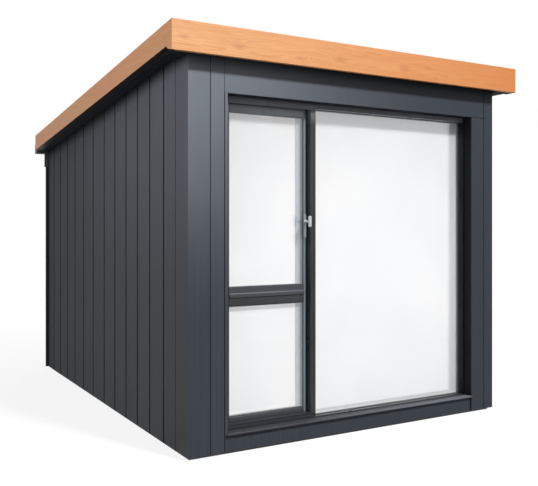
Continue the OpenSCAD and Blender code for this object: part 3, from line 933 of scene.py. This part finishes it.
# %% Threshold plate
RIB, RIB_GAP = 3 * MM, 6 * MM
plate = block("threshold_tread", plate_low, plate_high)
start = plate_low.y + 12 * MM
count = int((plate_high.y - start - 4 * MM) / (RIB + RIB_GAP))
lines = [start + i * (RIB + RIB_GAP) for i in range(count)]
for y in lines:
    score(plate, 1, y)
    score(plate, 1, y + RIB)
push(plate, lambda m, n: n.z > 0.9 and any(y < m.y < y + RIB for y in lines), (0, 0, 1.2 * MM))
pick(plate, lambda m, d: abs(d.x) > 0.9 and m.y < plate_low.y + NEAR, edges=True)
bpy.ops.mesh.bevel(offset=3.5 * MM, segments=4)
ease(plate, 0.4 * MM, 1)
keep(plate, "cabin", "threshold", tread_dark, "threshold_plate")
print("threshold ribs:", count)

# %% [markdown]
# ## Glass, seals and blinds
# A sealed unit is two thin panes with a spacer bar between them. The spacer is a ring: a
# block whose front and back are inset, and whose inner faces are bridged, which opens it.

# %% Sealed glass units
PANE = 4 * MM


def ring(name, low, high, width):
    made = block(name, low, high)
    pick(made, lambda m, n: abs(n.y) > 0.9)
    bpy.ops.mesh.inset(thickness=width, use_even_offset=True)
    bpy.ops.mesh.bridge_edge_loops()
    bpy.ops.object.mode_set(mode="OBJECT")
    return made


def sealed_unit(name, low, high, body):
    """Two panes, a spacer bar and a seal in front, in the space of a CAD pane."""
    outer = block(name, low, (high.x, low.y + PANE, high.z))
    inner = block("pane", (low.x, high.y - PANE, low.z), high)
    for pane in (outer, inner):
        ease(pane, 0.5 * MM, 1)
    unit = keep(join(name, [outer, inner]), body, "glazing", glass_clear)
    bar = ring(name + "_spacer", (low.x, low.y + PANE, low.z),
        (high.x, high.y - PANE, high.z), 5 * MM)
    keep(ease(bar, 0.5 * MM, 1), body, "window_frame", spacer_metal)
    seal = ring(name + "_seal", (low.x, low.y - 3 * MM, low.z), (high.x, low.y, high.z), 2 * MM)
    keep(ease(seal, 0.6 * MM, 1), body, "window_frame", seal_rubber)
    return unit


def split_at_rail(low, high):
    """The corners of the lower and the upper half of a box that the middle rail divides."""
    return (low, Vector((*high[:2], mid_low.z))), (Vector((*low[:2], mid_high.z)), high)


mid_low, mid_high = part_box("door_mid_rail")
lower_pane, upper_pane = split_at_rail(*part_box("door_glass"))
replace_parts(sealed_unit("glass_fixed", fixed_low, fixed_high, "cabin"), "fixed_glass")
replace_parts(sealed_unit("glass_door_lower", *lower_pane, "door"), "door_glass")
sealed_unit("glass_door_upper", *upper_pane, "door")
print("panes", round(PANE * 1000), "mm thick")

# %% [markdown]
# White blinds hang behind the panes, and give the front its plain white fields. Each is one
# sheet of polyester cloth, held flat. It is a grid, stood upright, moved by a slow wave of
# under two millimetres and given the thickness of cloth. A slim white bar in its hem keeps it
# straight. The door's blinds end short of the closing stile, beside a pale blue-grey guide,
# whose colour, darker towards the stile, is painted shade.

# %% Blinds
sag = bpy.data.textures.new("slow_wave", "CLOUDS")
sag.noise_scale = 0.5


def blind(name, low, high, body, frame_node, replaced=None):
    width, height = high.x - low.x, high.z - low.z
    deselect()
    bpy.ops.mesh.primitive_grid_add(x_subdivisions=24, y_subdivisions=32, size=1,
        location=((low.x + high.x) / 2, (low.y + high.y) / 2, (low.z + high.z) / 2),
        rotation=(math.radians(90), 0, 0))
    bpy.context.object.scale = (width, height, 1)
    cloth = placed(name)
    wave = cloth.modifiers.new("wave", "DISPLACE")
    wave.texture, wave.texture_coords = sag, "GLOBAL"
    wave.strength, wave.direction = 1.6 * MM, "Y"
    bpy.ops.object.modifier_apply(modifier="wave")
    thick = cloth.modifiers.new("cloth", "SOLIDIFY")
    thick.thickness, thick.offset = 0.8 * MM, 0
    bpy.ops.object.modifier_apply(modifier="cloth")
    bpy.ops.object.shade_smooth_by_angle(angle=math.radians(40))
    bar = block(name + "_hem_bar", (low.x + 2 * MM, low.y - 1 * MM, low.z + 1 * MM),
        (high.x - 2 * MM, high.y + 1 * MM, low.z + 13 * MM))
    keep(ease(bar, 2 * MM, 3), body, "blind", hem_white)
    keep(cloth, body, "blind", blind_cloth)
    if replaced:
        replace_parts(cloth, replaced)
    print(name, round(width, 3), "by", round(height, 3))


blinds_low, blinds_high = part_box("door_blinds")
lower_blind, upper_blind = split_at_rail(blinds_low, blinds_high)
blind("blind_fixed", *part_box("fixed_blind"), "cabin", "frame_head", "fixed_blind")
blind("blind_door_lower", *lower_blind, "door", "door_mid_rail", "door_blinds")
blind("blind_door_upper", *upper_blind, "door", "door_top_rail")

for name, (low, high) in (("blind_guide_lower", lower_pane), ("blind_guide_upper", upper_pane)):
    guide = block(name, (blinds_high.x + 1 * MM, blinds_low.y - 3 * MM, low.z),
        (glass_edge, blinds_low.y + 4 * MM, high.z))
    keep(ease(guide, 1.5 * MM, 2), "door", "blind", guide_coat_painted_shade)

# %% [markdown]
# ## The door leaf
# The leaf is five bars. Along the glass each has a sloping bead, which is a bevel on the one
# edge that meets the pane. The middle rail is two profiles with a joint line between them.
# The upper one has a ledge with a sloping top, which sheds water and catches the light.

# %% Leaf bars
X, Z = 0, 2
leaf_front = mid_low.y


def leaf_bar(name, node, along, beads, coat=leaf_coat, extra=None):
    """A bar along X or Z, with a bead at its low side (0), its high side (1) or both."""
    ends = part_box(node)
    across = X + Z - along
    lines = [ends[i][across] for i in beads]
    made = block(name, *ends)
    if extra:
        extra(made)
    pick(made, lambda m, d: m.y < ends[0].y + NEAR and abs(d[along]) > 0.9
        and any(abs(m[across] - line) < NEAR for line in lines), edges=True)
    bpy.ops.mesh.bevel(offset=6 * MM, segments=1)
    ease(made, 1 * MM, 2, 25)
    return keep(made, "door", "door_profile", coat, node)


def joint_and_ledge(obj):
    slit(obj, Z, JOINT_Z, 5 * MM, 12 * MM)
    score(obj, Z, LEDGE_Z)
    push(obj, lambda m, n: n.y < -0.9 and JOINT_Z + 2 * MM < m.z < LEDGE_Z, (0, -6 * MM, 0))
    pick(obj, lambda m, d: abs(d.x) > 0.9 and m.y < leaf_front - 4 * MM
        and m.z > LEDGE_Z - NEAR, edges=True)
    bpy.ops.mesh.bevel(offset=5.5 * MM, segments=1)
    bpy.ops.object.mode_set(mode="OBJECT")


def in_slit(middle, normal):
    """The inside of the joint that runs across the middle rail."""
    off = abs(middle.z - JOINT_Z)
    return off < 2.6 * MM and abs(normal.y) < 0.5 or normal.y < -0.5 and off < 2.4 * MM


leaf_bar("leaf_stile_left", "door_left_stile", Z, (1,))
leaf_bar("leaf_stile_right", "door_right_stile", Z, (0,), stile_coat_painted_light)
leaf_bar("leaf_rail_top", "door_top_rail", X, (0,))
leaf_bar("leaf_rail_bottom", "door_bottom_rail", X, (1,))
middle_rail = leaf_bar("leaf_rail_middle", "door_mid_rail", X, (0, 1), extra=joint_and_ledge)
refinish(middle_rail, seal_rubber, in_slit)
print("middle rail", round((mid_high.z - mid_low.z) * 1000), "mm high")

# %% [markdown]
# A rubber seal lies between the lip and the leaf. It stays with the frame, so the open door
# shows it as a black line round the bay.

# %% Door seal
starts = [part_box(node)[0] for node in ("door_left_stile", "door_bottom_rail")]
ends = [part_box(node)[1] for node in ("door_right_stile", "door_top_rail")]
leaf_low = Vector([min(corner[i] for corner in starts) for i in range(3)])
leaf_high = Vector([max(corner[i] for corner in ends) for i in range(3)])
door_seal = ring("door_seal", (leaf_low.x + 2 * MM, lip_back, leaf_low.z + 2 * MM),
    (leaf_high.x - 2 * MM, leaf_low.y - 0.5 * MM, leaf_high.z - 2 * MM), 9 * MM)
keep(ease(door_seal, 1.2 * MM, 2), "cabin", "window_frame", seal_rubber)
print("leaf", round(leaf_high.x - leaf_low.x, 3), "by", round(leaf_high.z - leaf_low.z, 3))

# %% [markdown]
# The handle is die-cast with a white coat: a collar, a stem and an upright grip that stands
# well out. The long backplate behind it is coated like the leaf. It gets its round ends from
# a bevel on its four corner edges that is nearly half its width.

# %% Handle
handle_low, handle_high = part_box("door_handle")
plate_back = leaf_low.y
plate_front = plate_back - 8 * MM
grip_low, grip_high = levels("door_handle", 2, lambda co: co.y < handle_low.y + NEAR)
handle_mid = (grip_low + grip_high) / 2
plate_x = handle_high.x - 9 * MM


def plate_rod(name, z, start, end, radius, sides, radius_end, soft, segments):
    """A round part on the backplate's middle line; start and end are its places along Y."""
    made = rod(name, (plate_x, start, z), (plate_x, end, z), radius, sides, radius_end)
    return ease(made, soft, segments)


backplate = block("handle_backplate", (plate_x - 9 * MM, plate_front, handle_low.z),
    (plate_x + 9 * MM, plate_back, handle_high.z))
pick(backplate, lambda m, d: abs(d.y) > 0.9, edges=True)
bpy.ops.mesh.bevel(offset=8.6 * MM, segments=6)
ease(backplate, 1.5 * MM, 3)
collar = plate_rod("handle_collar", handle_mid, plate_front, plate_front - 5 * MM,
    11 * MM, 32, 9.5 * MM, 1 * MM, 2)
stem = plate_rod("handle_stem", handle_mid, plate_front, handle_low.y + 14 * MM,
    7 * MM, 32, 6.2 * MM, 0.5 * MM, 1)
grip = block("handle_grip", (handle_low.x, handle_low.y, grip_low),
    (handle_low.x + 21 * MM, handle_low.y + 17 * MM, grip_high))
ease(grip, 6.5 * MM, 5, 80)
caps = [plate_rod("cap", z, plate_front + 0.5 * MM, plate_front - 1 * MM,
    3.6 * MM, 20, 3.6 * MM, 0.4 * MM, 1) for z in (handle_low.z + 14 * MM, handle_high.z - 14 * MM)]
keep(join("handle_backplate", [backplate] + caps), "door", "handle", plate_coat)
keep(join("door_handle_set", [grip, stem, collar]), "door", "handle", handle_coat, "door_handle")
print("handle stands off", round((plate_back - handle_low.y) * 1000), "mm")

# %% [markdown]
# The hinges lift off: the lower barrel and its plate are on the frame, and the upper ones
# turn with the leaf. The barrels have domed caps, and each plate has two countersunk screws.

# %% Hinges
BARREL, BARREL_HIGH = 7 * MM, 45 * MM
hinge_low, hinge_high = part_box("door_hinges")
axis_x, axis_y = frame["joints"][0]["pos_m"][:2]
first, last = hinge_low.z - 0.5 * MM, hinge_high.z - BARREL_HIGH - 0.5 * MM
heights = [first, (first + last) / 2, last]


def hinge_half(up, plate_start, plate_end, z):
    """A barrel with its cap, plate and screws, above (1) or below (-1) the hinge's middle z."""
    low, high = (z + 0.5 * MM, z + BARREL_HIGH) if up > 0 else (z - BARREL_HIGH, z)
    parts = [ease(rod("hinge", (axis_x, axis_y, low), (axis_x, axis_y, high), BARREL, 32),
        0.6 * MM, 2)]
    cap_at = high if up > 0 else low
    parts.append(ease(rod("cap", (axis_x, axis_y, cap_at), (axis_x, axis_y, cap_at + up * 5 * MM),
        BARREL, 32, 4.5 * MM), 1.2 * MM, 3))
    plate = block("plate", (*plate_start, low), (*plate_end, high))
    pick(plate, lambda m, d: abs(d.y) > 0.9 and abs(m.x - axis_x) > 15 * MM, edges=True)
    bpy.ops.mesh.bevel(offset=5 * MM, segments=4)
    parts.append(ease(plate, 0.5 * MM, 1))
    x, y = axis_x + up * 20 * MM, plate_end[1]
    for at in (low + 11 * MM, low + 33 * MM):
        screw = rod("screw", (x, y - 0.5 * MM, at), (x, y + 1 * MM, at), 3.5 * MM, 20, 2.6 * MM)
        parts.append(ease(screw, 0.3 * MM, 1))
    return parts


leaf_back = leaf_high.y
room_face = jamb_high.y
frame_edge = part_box("frame_hinges")[0].x
on_leaf = [part for z in heights for part in hinge_half(1, (axis_x, leaf_back),
    (hinge_high.x, leaf_back + 3 * MM), z)]
keep(join("hinges_on_leaf", on_leaf), "door", "hinge_steel", zinc_plate, "door_hinges")
on_frame = [part for z in heights for part in hinge_half(-1, (frame_edge, room_face),
    (axis_x, room_face + 3 * MM), z)]
keep(join("hinges_on_frame", on_frame), "cabin", "hinge_steel", zinc_plate, "frame_hinges")
print("hinges at", [round(z, 3) for z in heights])

# %% [markdown]
# ## Roof edge
# The front fascia is a pine board with mitred ends, and a short return runs back along each
# side. A mitre is a cut at 45 degrees through the corner. The return's top follows the
# roof's slope, and so do the top and the underside of the long side boards, which start just
# behind the returns. The left return's underside is cut away in two slants. The undersides
# carry the soffit's dark stain.

# %% Pine fascias
EASE = 2.5 * MM
JOINT = 2 * MM
LEFT_SLANTS = ((10 * MM, 0, (0, 0.28, -1)), (64 * MM, 15 * MM, (0, 1.1, -1)))
fascia_low, fascia_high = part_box("front_fascia")
side_low, side_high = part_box("side_fascias")
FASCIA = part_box("roof_deck")[0].y - fascia_low.y


def mitre(obj, x, y, normal):
    return cut(obj, (x, y, 0), Vector(normal).normalized())


def side_pine(part):
    keep(ease(part, EASE, 3), "cabin", "fascia_timber", pine_side_painted_light)
    refinish(part, soffit_stain, lambda m, n: n.z < -0.6)


front = block("fascia_front", fascia_low, (fascia_high.x, fascia_low.y + FASCIA, fascia_high.z))
mitre(front, fascia_low.x, fascia_low.y, (-1, 1, 0))
mitre(front, fascia_high.x, fascia_low.y, (1, 1, 0))
keep(ease(front, EASE, 3), "cabin", "fascia_timber", pine_front, "front_fascia")

for side, x0, corner, turn in (("left", fascia_low.x, fascia_low.x, (1, -1, 0)),
        ("right", fascia_high.x - FASCIA, fascia_high.x, (-1, -1, 0))):
    part = block("fascia_return_" + side, (x0, fascia_low.y, fascia_low.z),
        (x0 + FASCIA, fascia_high.y, fascia_high.z))
    mitre(part, corner, fascia_low.y, turn)
    cut(part, (0, fascia_low.y, fascia_high.z), SLOPE_NORMAL)
    for back, up, normal in (LEFT_SLANTS if side == "left" else ()):
        cut(part, (0, fascia_low.y + back, fascia_low.z + up), Vector(normal).normalized())
    side_pine(part)

for side, x0 in (("left", side_low.x), ("right", side_high.x - FASCIA)):
    part = block("fascia_side_" + side, (x0, side_low.y + JOINT, side_low.z),
        (x0 + FASCIA, side_high.y, side_high.z))
    cut(part, (0, side_low.y, side_high.z), SLOPE_NORMAL)
    cut(part, (0, side_high.y, side_low.z), -SLOPE_NORMAL)
    side_pine(part)
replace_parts(bpy.data.objects["fascia_side_left"], "side_fascias")
print("fascia", round(FASCIA * 1000), "mm thick")

# %% [markdown]
# The soffit under the overhang is two dark stained boards with a vent gap between them. A
# board is cut from a tall block by two planes that are parallel to the roof. The front
# fascia reaches lower than the side boards, so a dark packer closes the step at each corner.

# %% Soffit boards
VENT = 5 * MM
SOFFIT = 12.5 * MM
PACKER_END = FRONT + 0.13
front_soffit_low, front_soffit_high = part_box("front_soffit")
soffit_low, soffit_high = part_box("side_soffits")


def soffit(name, node, start, end, run, material):
    """Two boards between two corners, (x, y) each, that run along axis run (0 or 1)."""
    low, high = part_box(node)
    thick = high.z - low.z - SLOPE * (high.y - low.y)
    across = 1 - run
    middle = (start[across] + end[across]) / 2
    parts = []
    for at in (0, 1):
        a, b = [*start, low.z], [*end, high.z]
        (a if at else b)[across] = middle + (at - 0.5) * VENT
        part = block(name, a, b)
        cut(part, (0, low.y, high.z), SLOPE_NORMAL)
        cut(part, (0, low.y, high.z - thick), -SLOPE_NORMAL)
        parts.append(ease(part, 1.5 * MM, 2))
    return keep(join(name, parts), "cabin", "soffit_board", material)


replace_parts(soffit("soffit_front", "front_soffit", front_soffit_low[:2], front_soffit_high[:2], 0,
    soffit_stain), "front_soffit")
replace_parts(soffit("soffit_left", "side_soffits", soffit_low[:2], (left_low.x, soffit_high.y), 1,
    soffit_stain_side_painted_shade), "side_soffits")
soffit("soffit_right", "side_soffits", (right_high.x, soffit_low.y), soffit_high[:2], 1,
    soffit_stain_side_painted_shade)

packers = []
for x0, x1 in ((soffit_low.x, left_low.x - 1 * MM), (right_high.x + 1 * MM, soffit_high.x)):
    part = block("packer", (x0, fascia_low.y + FASCIA, fascia_low.z + 2 * MM),
        (x1, PACKER_END, soffit_high.z))
    cut(part, (0, soffit_low.y, soffit_high.z - SOFFIT), SLOPE_NORMAL)
    packers.append(ease(part, 2 * MM, 2))
# the packers take the grooves' near-black paint: painted shade under the eaves
keep(join("soffit_corner_packers", packers), "cabin", "soffit_board", groove_paint_painted_shade)
print("vent gap", round(VENT * 1000), "mm")

# %% [markdown]
# The roof is covered with felt in three lengths that run with the fall. Each length laps the
# next by a hand's width, and along the fascias a fillet of felt turns up. A length is a block
# cut parallel to the roof, and the laps and fillets lie on it.

# %% Roofing felt
LAP, LIFT, FILLET = 90 * MM, 2 * MM, 60 * MM
felt_low, felt_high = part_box("roof_membrane")


def felt(x0, x1, lift, thick, y1=felt_high.y):
    part = block("felt", (x0, felt_low.y, felt_low.z - 0.02), (x1, y1, felt_high.z + 0.02))
    cut(part, (0, felt_low.y, felt_high.z + lift), SLOPE_NORMAL)
    cut(part, (0, felt_low.y, felt_high.z + lift - thick), -SLOPE_NORMAL)
    return ease(part, min(1.5 * MM, thick / 3), 2)


felts = [felt(felt_low.x, felt_high.x, 0, 3.8 * MM)]
width = (felt_high.x - felt_low.x) / 3
for i in (1, 2):
    x = felt_low.x + i * width
    felts.append(felt(x - LAP / 2, x + LAP / 2, LIFT, 2 * MM))
felts.append(felt(felt_low.x, felt_low.x + FILLET, 3 * MM, 3 * MM))
felts.append(felt(felt_high.x - FILLET, felt_high.x, 3 * MM, 3 * MM))
felts.append(felt(felt_low.x + FILLET, felt_high.x - FILLET, 3 * MM, 3 * MM, felt_low.y + FILLET))
keep(join("roofing_felt", felts), "cabin", "membrane", roofing_felt, "roof_membrane")
repaint(panel_coat, nodes["roof_deck"])
print("felt lengths", round(width, 3), "wide")

# %% [markdown]
# At the rear a folded sheet covers the roof's edge, with a drip edge along its foot. The
# gutter is a folded trough: the top of a block is inset by the metal's thickness and pushed
# down. Its outer rim is rolled, straps hold it, and an outlet spout points down.

# %% Rear sheet and gutter
METAL = 2.5 * MM
STRAPS = 5
cover_low, cover_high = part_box("rear_fascia")
half = (cover_low.x + cover_high.x) / 2
drip_top = cover_low.z + 14 * MM
covers = []
for x0, x1 in ((cover_low.x, half - 0.5 * MM), (half + 0.5 * MM, cover_high.x)):
    part = block("cover", (x0, cover_low.y, cover_low.z), (x1, cover_high.y, cover_high.z))
    score(part, 2, drip_top)
    push(part, lambda m, n: n.y > 0.9 and m.z < drip_top, (0, 6 * MM, 0))
    covers.append(ease(part, 1.2 * MM, 2))
keep(join("rear_cover_sheets", covers), "cabin", "eave_metal", metal_coat, "rear_fascia")


def hollow(obj, up, depth):
    """Insets the end that faces up (1) or down (-1) and pushes it in, which leaves a wall."""
    pick(obj, lambda m, n: n.z * up > 0.9)
    bpy.ops.mesh.inset(thickness=METAL)
    bpy.ops.mesh.extrude_region_move(TRANSFORM_OT_translate={"value": (0, 0, -up * depth)})
    bpy.ops.object.mode_set(mode="OBJECT")


trough_low, trough_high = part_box("rear_gutter")
trough = block("gutter_trough", trough_low, trough_high)
hollow(trough, 1, trough_high.z - trough_low.z - METAL)
ease(trough, 1 * MM, 2)
rim = trough_high.y - 5 * MM
roll = ease(rod("roll", (trough_low.x, rim, trough_high.z), (trough_high.x, rim, trough_high.z),
    6 * MM, 20), 0.8 * MM, 1)
straps = []
spacing = (trough_high.x - trough_low.x - 0.2) / (STRAPS - 1)
for i in range(STRAPS):
    x = trough_low.x + 0.1 + i * spacing
    strap = block("strap", (x - 12 * MM, trough_low.y, trough_high.z - 4 * MM),
        (x + 12 * MM, trough_high.y - 4 * MM, trough_high.z - 1 * MM))
    straps.append(ease(strap, 0.8 * MM, 1))
outlet = (trough_low.x + 0.25, (trough_low.y + trough_high.y) / 2)
spout = rod("spout", (*outlet, trough_low.z - 45 * MM), (*outlet, trough_low.z + 1 * MM),
    27 * MM, 32)
ease(spout, 1 * MM, 2)
hollow(spout, -1, 40 * MM)
gutter = join("gutter", [trough, roll, spout] + straps)
keep(gutter, "cabin", "eave_metal", metal_coat, "rear_gutter")
print("gutter straps every", round(spacing * 1000), "mm")

# %% [markdown]
# The rear corners have folded steel strips, held by a row of screws.

# %% Rear corner strips
SCREWS = 8
END = 0.12  # from a strip's end to its last screw
strip_low, strip_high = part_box("rear_corner_strips")
STRIP = levels("rear_corner_strips", 0)[1] - strip_low.x
strips = []
for x0 in (strip_low.x, strip_high.x - STRIP):
    strip = block("strip", (x0, strip_low.y, strip_low.z), (x0 + STRIP, strip_high.y, strip_high.z))
    strips.append(ease(strip, 1.5 * MM, 2))
    for i in range(SCREWS):
        z = strip_low.z + END + i * (strip_high.z - strip_low.z - 2 * END) / (SCREWS - 1)
        x, y = x0 + STRIP / 2, strip_high.y
        screw = rod("screw", (x, y - 0.5 * MM, z), (x, y + 2 * MM, z), 5 * MM, 12, 3.5 * MM)
        strips.append(ease(screw, 0.4 * MM, 1))
keep(join("corner_strips_rear", strips), "cabin", "corner_strips", strip_coat, "rear_corner_strips")
print("corner strips", round(STRIP * 1000), "mm wide, with", SCREWS, "screws each")

# %% [markdown]
# ## Inside
# Only what the open door shows is finished: white lining boards, a vinyl floor, a skirting
# and flat strips over the joints of the lining. The walls, floor and base stay the CAD's own
# solids with a finish of their own.

# %% Room finishes
SKIRT, SKIRT_HIGH = 12 * MM, 60 * MM
for material, names in (
        (lining_white, ("left_wall", "right_wall", "rear_wall", "front_piers", "front_lintel")),
        (floor_film, ("floor_deck",)), (base_paint, ("base_end_rails", "base_side_rails")),
        (ground_panel, ("floor_panel",))):
    repaint(material, *(nodes[name] for name in names))

floor_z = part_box("floor_deck")[1].z
room_x0, room_x1 = wall_high.x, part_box("right_wall")[0].x
room_y0, room_y1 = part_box("front_lintel")[1].y, rear_low.y
skirts = []
for x0, x1, y0 in ((room_x0, room_x0 + SKIRT, room_y0), (room_x1 - SKIRT, room_x1, room_y0),
        (room_x0 + SKIRT, room_x1 - SKIRT, room_y1 - SKIRT)):
    skirt = block("skirting", (x0, y0, floor_z), (x1, room_y1, floor_z + SKIRT_HIGH))
    skirts.append(ease(skirt, 4 * MM, 3))
keep(join("skirting", skirts), "cabin", "wall_lining", lining_white)


def joint_strip(x0, x1, y0, y1):
    strip = block("strip", (x0, y0, floor_z + SKIRT_HIGH), (x1, y1, wall_high.z))
    return ease(under_roof(strip), 1 * MM, 2)


covers = []
for i in (1, 2):
    y = room_y0 + i * (room_y1 - room_y0) / 3
    x = room_x0 + i * (room_x1 - room_x0) / 3
    covers.append(joint_strip(room_x0, room_x0 + 4 * MM, y - 20 * MM, y + 20 * MM))
    covers.append(joint_strip(room_x1 - 4 * MM, room_x1, y - 20 * MM, y + 20 * MM))
    covers.append(joint_strip(x - 20 * MM, x + 20 * MM, room_y1 - 4 * MM, room_y1))
keep(join("lining_joint_strips", covers), "cabin", "wall_lining", lining_white)
print("room", round(room_x1 - room_x0, 3), "by", round(room_y1 - room_y0, 3))

# %% [markdown]
# ## Floor and light
# The floor is a large plain sheet. To the camera, a mirror or glass it is white with the
# cabin's soft shadow on it, and farther out plain white. For the light that it throws back
# onto the cabin it is a middle grey, so that the dark boards keep their depth near the
# ground. The world does the same: white to look at, and only a weak light on the cabin.

# %% Studio floor and background
bpy.context.scene.view_settings.view_transform = "Standard"
WHITE = linear("#ffffff")
deselect()
bpy.ops.mesh.primitive_plane_add(size=60, location=(0, 0, -0.5 * MM))
floor = bpy.context.object
floor.name = "studio_floor"


def seen(tree):
    """1 for a ray that looks, straight, by a mirror or through glass, and 0 for light."""
    rays = add(tree, "ShaderNodeLightPath", {}).outputs
    either = add(tree, "ShaderNodeMath", {0: rays["Is Camera Ray"], 1: rays["Is Glossy Ray"]},
        operation="MAXIMUM").outputs[0]
    return add(tree, "ShaderNodeMath", {0: either, 1: rays["Is Transmission Ray"]},
        operation="MAXIMUM").outputs[0]


floor_material = bpy.data.materials.new("pale_studio_floor")
floor_material.use_nodes = True
tree = floor_material.node_tree
tree.nodes.clear()
white = add(tree, "ShaderNodeBsdfDiffuse", {"Color": WHITE})
glow = add(tree, "ShaderNodeEmission", {"Color": WHITE, "Strength": 0.8})
shown = add(tree, "ShaderNodeMixShader", {0: 0.8, 1: white.outputs[0], 2: glow.outputs[0]})
lift = add(tree, "ShaderNodeEmission", {"Color": WHITE, "Strength": 0.22})
near = add(tree, "ShaderNodeAddShader", {0: shown.outputs[0], 1: lift.outputs[0]})
clean = add(tree, "ShaderNodeEmission", {"Color": WHITE, "Strength": 1.0})
place = add(tree, "ShaderNodeTexCoord", {}).outputs["Object"]
away = add(tree, "ShaderNodeVectorMath", {0: place}, operation="LENGTH").outputs["Value"]
share = add(tree, "ShaderNodeMapRange", {"Value": away, "From Min": 2.2, "From Max": 5.5},
    clamp=True).outputs["Result"]
lit = add(tree, "ShaderNodeMixShader", {0: share, 1: near.outputs[0], 2: clean.outputs[0]})
grey = add(tree, "ShaderNodeBsdfDiffuse", {"Color": linear("#6e6e6e")})
both = add(tree, "ShaderNodeMixShader", {0: seen(tree), 1: grey.outputs[0], 2: lit.outputs[0]})
add(tree, "ShaderNodeOutputMaterial", {"Surface": both.outputs[0]})
floor.data.materials.append(floor_material)

world = bpy.data.worlds.new("pale_studio")
bpy.context.scene.world = world
world.use_nodes = True
tree = world.node_tree
tree.nodes.clear()
soft = add(tree, "ShaderNodeBackground", {"Color": linear("#f2f5fa"), "Strength": 0.22})
clean = add(tree, "ShaderNodeBackground", {"Color": WHITE, "Strength": 1.0})
sky = add(tree, "ShaderNodeMixShader", {0: seen(tree), 1: soft.outputs[0], 2: clean.outputs[0]})
add(tree, "ShaderNodeOutputWorld", {"Surface": sky.outputs[0]})
print("floor", round(floor.dimensions.x), "m wide")

# %% [markdown]
# One key lamp stands high in front and to the right, small enough for the soffit to throw a
# clear shadow band on the front. A wide fill on the left keeps the side readable, and
# another behind does that for the rear. A flat lamp inside the room, which the camera doesn't
# see, lights the blinds from behind, so that they read as white cloth.

# %% Lamps
def lamp(name, place, aim, size, watts, depth=None):
    """A round lamp, or an oblong one where a depth is given, that points at a place."""
    turn = (Vector(aim) - Vector(place)).to_track_quat("-Z", "Y").to_euler()
    bpy.ops.object.light_add(type="AREA", location=place, rotation=turn)
    made = bpy.context.object
    made.name = name
    made.data.shape = "RECTANGLE" if depth else "DISK"
    made.data.size = size
    made.data.size_y = depth or size
    made.data.energy = watts
    print(name, watts, "W")
    return made


lamp("key_lamp", (2.3, -10.5, 10.4), (0, -1.2, 1.2), 1.6, 1740)
room_lamp = lamp("room_lamp", (0, 0.15, 2.0), (0, 0.15, 0), 2.0, 50, 0.6)
room_lamp.visible_camera = False
lamp("side_fill", (-8, -4, 3.5), (-1, 0.2, 1.3), 4, 160)
lamp("rear_fill", (3.5, 9, 6), (0, 1, 1), 5, 260)
